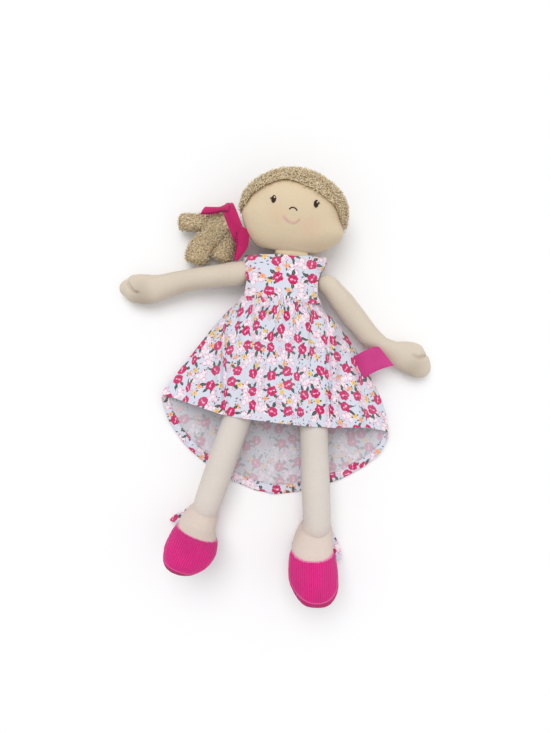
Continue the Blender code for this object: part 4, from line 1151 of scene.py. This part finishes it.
for side, shoe in shoes.items():
    low = side.lower()
    shoe["length"] = alongFoot(places(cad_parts["shoe_sole_" + low].data) / mm, shoe).max()
    footEased(stuffed["foot" + side], shoe, shoe["heel"])
    for part, cadName, cloth in (("Upper", "shoe_upper_" + low, corduroy), ("Sole", "shoe_sole_" + low, soleCorduroy)):
        obj = paint(softForm(cadName, "shoe" + part + side, 0.7 * mm, 10, 0.15 * mm), cloth)
        lowest = (places(obj.data) @ np.array(shoe["up"]) / mm).min() - (4.0 if part == "Upper" else 0)
        footEased(obj, shoe, 2.8 if part == "Upper" else 2.0)
        co = places(obj.data)
        rise = co @ np.array(shoe["up"]) / mm
        putFloats(obj.data, "across", (co - np.array(shoe["ankle"])) @ np.array(shoe["across"]))
        putFloats(obj.data, "welt", np.clip((lowest + 10.5 - rise) / 0.5, 0, 1))
        rim = np.nonzero((-normals(obj.data) @ np.array(shoe["toes"]) > 0.5) & (alongFoot(co / mm, shoe) > 4))[0]
        rimTree = KDTree(len(rim))
        for k in rim:
            rimTree.insert(Vector(co[k]), int(k))
        rimTree.balance()
        apart = np.array([rimTree.find(Vector(p))[2] for p in co])
        putFloats(obj.data, "edge", np.maximum(np.clip((1.5 * mm - apart) / (0.5 * mm), 0, 1) * (part == "Upper"),
                                               0.55 * np.exp(-((rise - lowest - 10.8) / 0.4) ** 2)))
        settle(obj, "foot_" + low, "shoe_corduroy", cadName)
    loop = paint(softForm("heel_loop_" + low, "heelLoop" + side, 0.35 * mm, 5), dressPrint)
    putCloth(loop.data, places(loop.data)[:, :2] + 0.05)
    dx, dy, turn, longer = shoe["loop"]
    root = Vector(loopRoots[side])
    loop.data.transform(Matrix.Translation(root + Vector((dx, dy, 0)) * mm) @ Matrix.Rotation(turn, 4, "Z")
                        @ Matrix.Scale(longer, 4) @ Matrix.Translation(-root))
    settle(loop, "loop_" + low, "dress_print", "heel_loop_" + low)
print("shoes made")


# dress

dress = {
    "waistY": 2.5, "sideDrop": (94.5, 118.5), "hemRise": 39.0, "depth": 43.8, "middle": 21.5, "cloth": 0.9,
    "sides": ([(0, 36.0), (1.8, 36.0), (9, 46.8), (20.9, 58.8), (36.9, 70.8), (56.2, 84.3), (75.5, 97.8), (94.5, 111.0)],
              [(0, 35.6), (8.8, 36.6), (15, 46.3), (22.8, 54.7), (33.8, 62.7), (44.7, 70.2), (57.1, 77.6), (68.2, 84.9), (79.2, 91.5),
               (93.2, 98.3), (104.5, 102.0), (118.5, 104.8)]),
    "frontHem": [(-1, -90.6), (-.74, -97), (-.47, -105), (-.25, -107.5), (.1, -110.2), (.43, -111.5), (.81, -110), (.94, -113), (1, -116)],
    "backHem": [(-1, -90.6), (-.975, -105), (-.95, -112.4), (-.816, -134.5), (-.615, -153.6), (-.356, -169.5), (-.17, -177.4),
                (.035, -180), (.32, -174.5), (.6, -162.4), (.81, -148.9), (.95, -134), (.985, -124), (1, -116)],
    "seam": [(0, 1.0), (0.15, 0.66), (0.5, 0.42), (1, 0.33)],
}


def softly(pairs, spot, reach):
    low, high = pairs[0][0], pairs[-1][0]
    return (between(pairs, max(low, spot - reach)) + between(pairs, spot) * 2 + between(pairs, min(high, spot + reach))) / 4


def skirtPlan(s, t, hem, reach):
    side = 0 if s < 0 else 1
    y = dress["waistY"] - t * (dress["waistY"] - softly(dress[hem], s, reach))
    return s * softly(dress["sides"][side], t * dress["sideDrop"][side], 4.0) - 2.8 * math.exp((y - dress["waistY"]) / 9), y


def gathers(s, reach, count, seed):
    # small folds where the cloth is drawn in at the waist; reach is how far below it in millimetres
    wave = math.cos(math.pi * count * s + 0.9 * math.sin(5 * s + seed)) + 0.6 * math.cos(math.pi * count * 1.62 * s + seed)
    return wave * math.exp(-max(0, reach) / 15) * min(1, 0.35 + reach / 4) * max(0, 1 - s ** 8)


# each long fold: x and y of its top and bottom, half width, depth of the crease, height of the ridge, side of the ridge
frontFolds = [(-56, -10, -47, -106, 2.2, 3.0, 5.4, -1), (-29, 2, -27, -46, 2.0, 1.4, 3.4, 1), (24, -2, 26, -50, 2.0, 1.4, 3.4, -1),
              (40, -16, 46, -108, 2.2, 3.0, 5.2, 1), (-6, 2, -8, -38, 2.0, 1.0, 2.4, 1), (70, -48, 82, -112, 3.0, 2.2, 3.6, -1),
              (-80, -48, -86, -100, 3.0, 1.8, 3.2, 1), (14, -50, 18, -112, 4.0, 1.2, 3.0, 1), (-18, -46, -22, -110, 4.0, 1.2, 3.0, -1),
              (12, 1, 11, -26, 1.8, 1.0, 2.2, -1), (-44, -2, -40, -34, 2.0, 1.2, 2.6, 1)]


def folds(x, y, table):
    total = 0
    for topX, topY, lowX, lowY, wide, depth, height, side in table:
        t = (topY - y) / (topY - lowY)
        if -0.2 < t < 1.3:
            strength = min(1, max(0, (t + 0.2) / 0.4)) * min(1, max(0, (1.3 - t) / 0.5))
            away = x - topX - (lowX - topX) * t
            total += strength * (height * math.exp(-((away - side * 2.1 * wide) / (1.7 * wide)) ** 2)
                                 - depth * math.exp(-(away / wide) ** 2))
    return total


def tucked(x, y, table):
    # how much cloth the folds to the left of the place take up
    total = 0
    for topX, topY, lowX, lowY, wide, depth, height, side in table:
        t = (topY - y) / (topY - lowY)
        if -0.2 < t < 1.3:
            strength = min(1, max(0, (t + 0.2) / 0.4)) * min(1, max(0, (1.3 - t) / 0.5))
            away = x - topX - (lowX - topX) * t
            total += strength * 0.5 * (depth + height) * math.tanh(away / (0.7 * wide))
    return total


def frontPoint(s, t):
    x, y = skirtPlan(s, t, "frontHem", 0.1)
    seam = dress["middle"] * between(dress["seam"], t)
    crown = dress["depth"] - 0.6 + (dress["hemRise"] - dress["depth"] + 0.6) * t
    start = min(1, 4 * t)
    roundShare = (1 - start) * math.sqrt(max(0, 1 - s * s)) + start * (1 - abs(s) ** 2.4)
    reach = dress["waistY"] - y
    rise = folds(x, y, frontFolds) + 1.35 * gathers(s, reach, 12, 0.4)
    tuck = 1.5 * math.exp(-max(0, reach) / 1.6)
    return (x * mm, (y + 1.2 * (1 - t) ** 20) * mm,
            (seam + 0.75 + (crown - seam) * roundShare + max(-1.7, rise) * max(0, 1 - s ** 8) - tuck) * mm)


def backPoint(s, t, lift=0.0):
    x, y = skirtPlan(s, t, "backHem", 0.03)
    seam = dress["middle"] * between(dress["seam"], t) - 1.35
    start = min(1, 5 * t)
    rise = (1 - start) * (1 - math.sqrt(max(0, 1 - s * s))) + start * abs(s) ** 7
    wave = 0.9 * math.cos(math.pi * 6 * s + 0.7) + 0.6 * math.cos(math.pi * 11 * s)
    ripple = max(0, wave) * max(0, min(1, 2.5 * (t - 0.55))) * 1.3 * max(0, 1 - s ** 6)
    return (x * mm, y * mm, (0.55 + seam * rise + ripple + lift) * mm)


def clothFront(s, t):
    x, y = skirtPlan(s, t, "frontHem", 0.1)
    return ((0.6 * x + 0.4 * s * 107 + tucked(x, y, frontFolds)) * mm, y * mm)


def clothBack(s, t):
    x, y = skirtPlan(s, t, "backHem", 0.03)
    return ((0.6 * x + 0.4 * s * 107) * mm + 0.4, y * mm)


def crisp(obj):
    obj.data.set_sharp_from_angle(angle=math.radians(50))
    return obj


for name, start, end, joint in (("skirtFrontRight", -1, 0, "leg_right_swing"), ("skirtFrontLeft", 0, 1, "leg_left_swing")):
    front = faceUp(gridSheet(name, frontPoint, clothFront, (start, end, 120), 140))
    paint(front, dressPrint, dressReverse)
    crisp(thicken(front, dress["cloth"] * mm, -1, 1))
    settle(front, "body", "dress_print", "skirt_front")
    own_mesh(front)

back = faceUp(gridSheet("skirtBack", backPoint, clothBack, (-1, 1, 220), 150), (0, 0, -1))
paint(back, dressPrint, dressReverse)
crisp(thicken(back, 0.8 * mm, 0, 1))
settle(back, "body", "dress_print", "skirt_back")


def hemBandPoint(s, t):
    # the turned-up hem inside the back panel
    low = Vector(backPoint(s, 1, 0.75))
    inner = Vector(backPoint(s, 1 - 9.0 / (dress["waistY"] - softly(dress["backHem"], s, 0.03)), 0.75))
    return low.lerp(inner, t)


hemBand = faceUp(gridSheet("hemBand", hemBandPoint,
                           lambda s, t: tuple(hemBandPoint(s, t).xy + Vector((0.21, 0.03))), (-0.985, 0.985, 180), 4))
thicken(hemBand, 0.4 * mm, 0)
paint(hemBand, dressPrint)
settle(hemBand, "body", "dress_print")
hemLine = [hemBandPoint(-0.98 + 1.96 * k / 240, 0.9) + up * 0.35 * mm for k in range(241)]
hemStitches = stitchRow("hemStitches", hemLine, 2.6 * mm, 1.9 * mm, 0.2 * mm, dressThread)
settle(hemStitches, "body", "dress_print")

for cadName, name, sign in (("bodice_front", "bodiceFront", 1), ("bodice_back_right", "bodiceBackRight", -1),
                            ("bodice_back_left", "bodiceBackLeft", -1)):
    panel = paint(softForm(cadName, name, 0.5 * mm, 5, 0.3 * mm), dressPrint)
    co, no = places(panel.data) / mm, normals(panel.data)
    x, y = co[:, 0].copy(), co[:, 1].copy()
    low = np.clip((8 - y) / 5, 0, 1) ** 2
    high = np.clip((y - 20) / 15, 0, 1) ** 2
    middle = 1 - np.clip((np.abs(x) - 23) / 2.5, 0, 1)
    inside = np.clip((38 - y) / 12, 0, 1)
    corner = np.clip((np.abs(x) - 30) / 5, 0, 1) * np.clip((y - 32) / 4, 0, 1)
    co[:, 1] = y - 3.8 * low + high * (3.3 + 2.0 * middle + 0.024 * x) + 1.0 * corner
    co[:, 0] = x * (1 - 0.035 * inside * (1 - low)) - 3.2 * inside * (1 - 0.6 * low) - 0.6 * (1 - inside) + np.sign(x) * corner
    co += no * (0.6 * low)[:, None]
    putPlaces(panel.data, co * mm)
    turn = np.arctan2(co[:, 0], sign * (co[:, 2] - 21.5) + 12)
    putCloth(panel.data, np.stack([0.034 * turn + (0.0 if sign > 0 else 0.6), co[:, 1] * mm + 0.02], axis=1))
    settle(panel, "body", "dress_print", cadName)
for cadName, name in (("hook_tape", "hookTape"), ("loop_tape", "loopTape")):
    tape = paint(softForm(cadName, name, 0.3 * mm, 3), tapeCloth)
    settle(tape, "body", "closure_tape", cadName)
labelTab = {"left": [(64.6, -47.2, 15.6), (75.3, -67.0, 14.6)],
            "right": [(85.8, -34.6, 30.6), (101.6, -52.4, 31.0)], "wall": 1.0}


def labelPoint(s, t):
    # a folded satin label, its fold to the right, bowed a little
    a, b = (Vector(p) for p in labelTab["left"])
    c, d = (Vector(p) for p in labelTab["right"])
    start, end = a.lerp(b, t), c.lerp(d, t)
    bow = math.sin(math.pi * s)
    corner = 2.2 * max(0, 1 - t / 0.16) ** 2 * max(0, (s - 0.8) / 0.2) ** 1.5
    spot = start.lerp(end, s) + Vector((-0.6, 1.9 * t, 2.2)) * bow * 0.9
    return (spot + Vector((-0.2, -1.2, 0)) * corner) * mm


label = faceUp(gridSheet("labelTab", labelPoint, lambda s, t: (s * 0.024, t * 0.021), (0, 1, 40), 36))
paint(thicken(label, labelTab["wall"] * mm, 0), labelSatin)
crisp(label)
settle(label, "label", "label_satin", "label_tab")
print("dress made")


# floor, light and camera

floorPaper, tree, shader, spot = finish("floor_paper", 0.9)
shader.inputs["Base Color"].default_value = rgb(249, 249, 250)
mesh = bpy.data.meshes.new("floor")
mesh.from_pydata([(-4, -4, 0), (4, -4, 0), (4, 4, 0), (-4, 4, 0)], [], [(0, 1, 2, 3)])
floor = paint(newObject("floor", mesh), floorPaper)

world = bpy.data.worlds.new("studio")
scene.world = world
world.use_nodes = True
sky = world.node_tree.nodes["Background"]
sky.inputs[0].default_value = (1, 1, 1, 1)
sky.inputs[1].default_value = 0.62

for name, away, angle, power in (("window", (-0.14, 0.46, 1.0), 38, 1.34), ("fill", (0.5, -0.1, 1.0), 70, 0.24)):
    lamp = bpy.data.lights.new(name, "SUN")
    lamp.angle = math.radians(angle)
    lamp.energy = power
    holder = newObject(name, lamp)
    holder.location = away
    holder.rotation_euler = Vector(away).to_track_quat("Z", "Y").to_euler()

camera = newObject("camera", bpy.data.cameras.new("camera"))
right, top = Vector((0.9984, 0.0558, 0)), Vector((-0.0558, 0.9984, 0))
camera.matrix_world = Matrix.Translation((-0.0053, -0.0594, 0.603)) @ Matrix((right, top, up)).transposed().to_4x4()
camera.data.lens = 31.18
camera.data.sensor_width = 36
camera.data.clip_start = 0.01
scene.camera = camera
scene.view_settings.view_transform = "Standard"
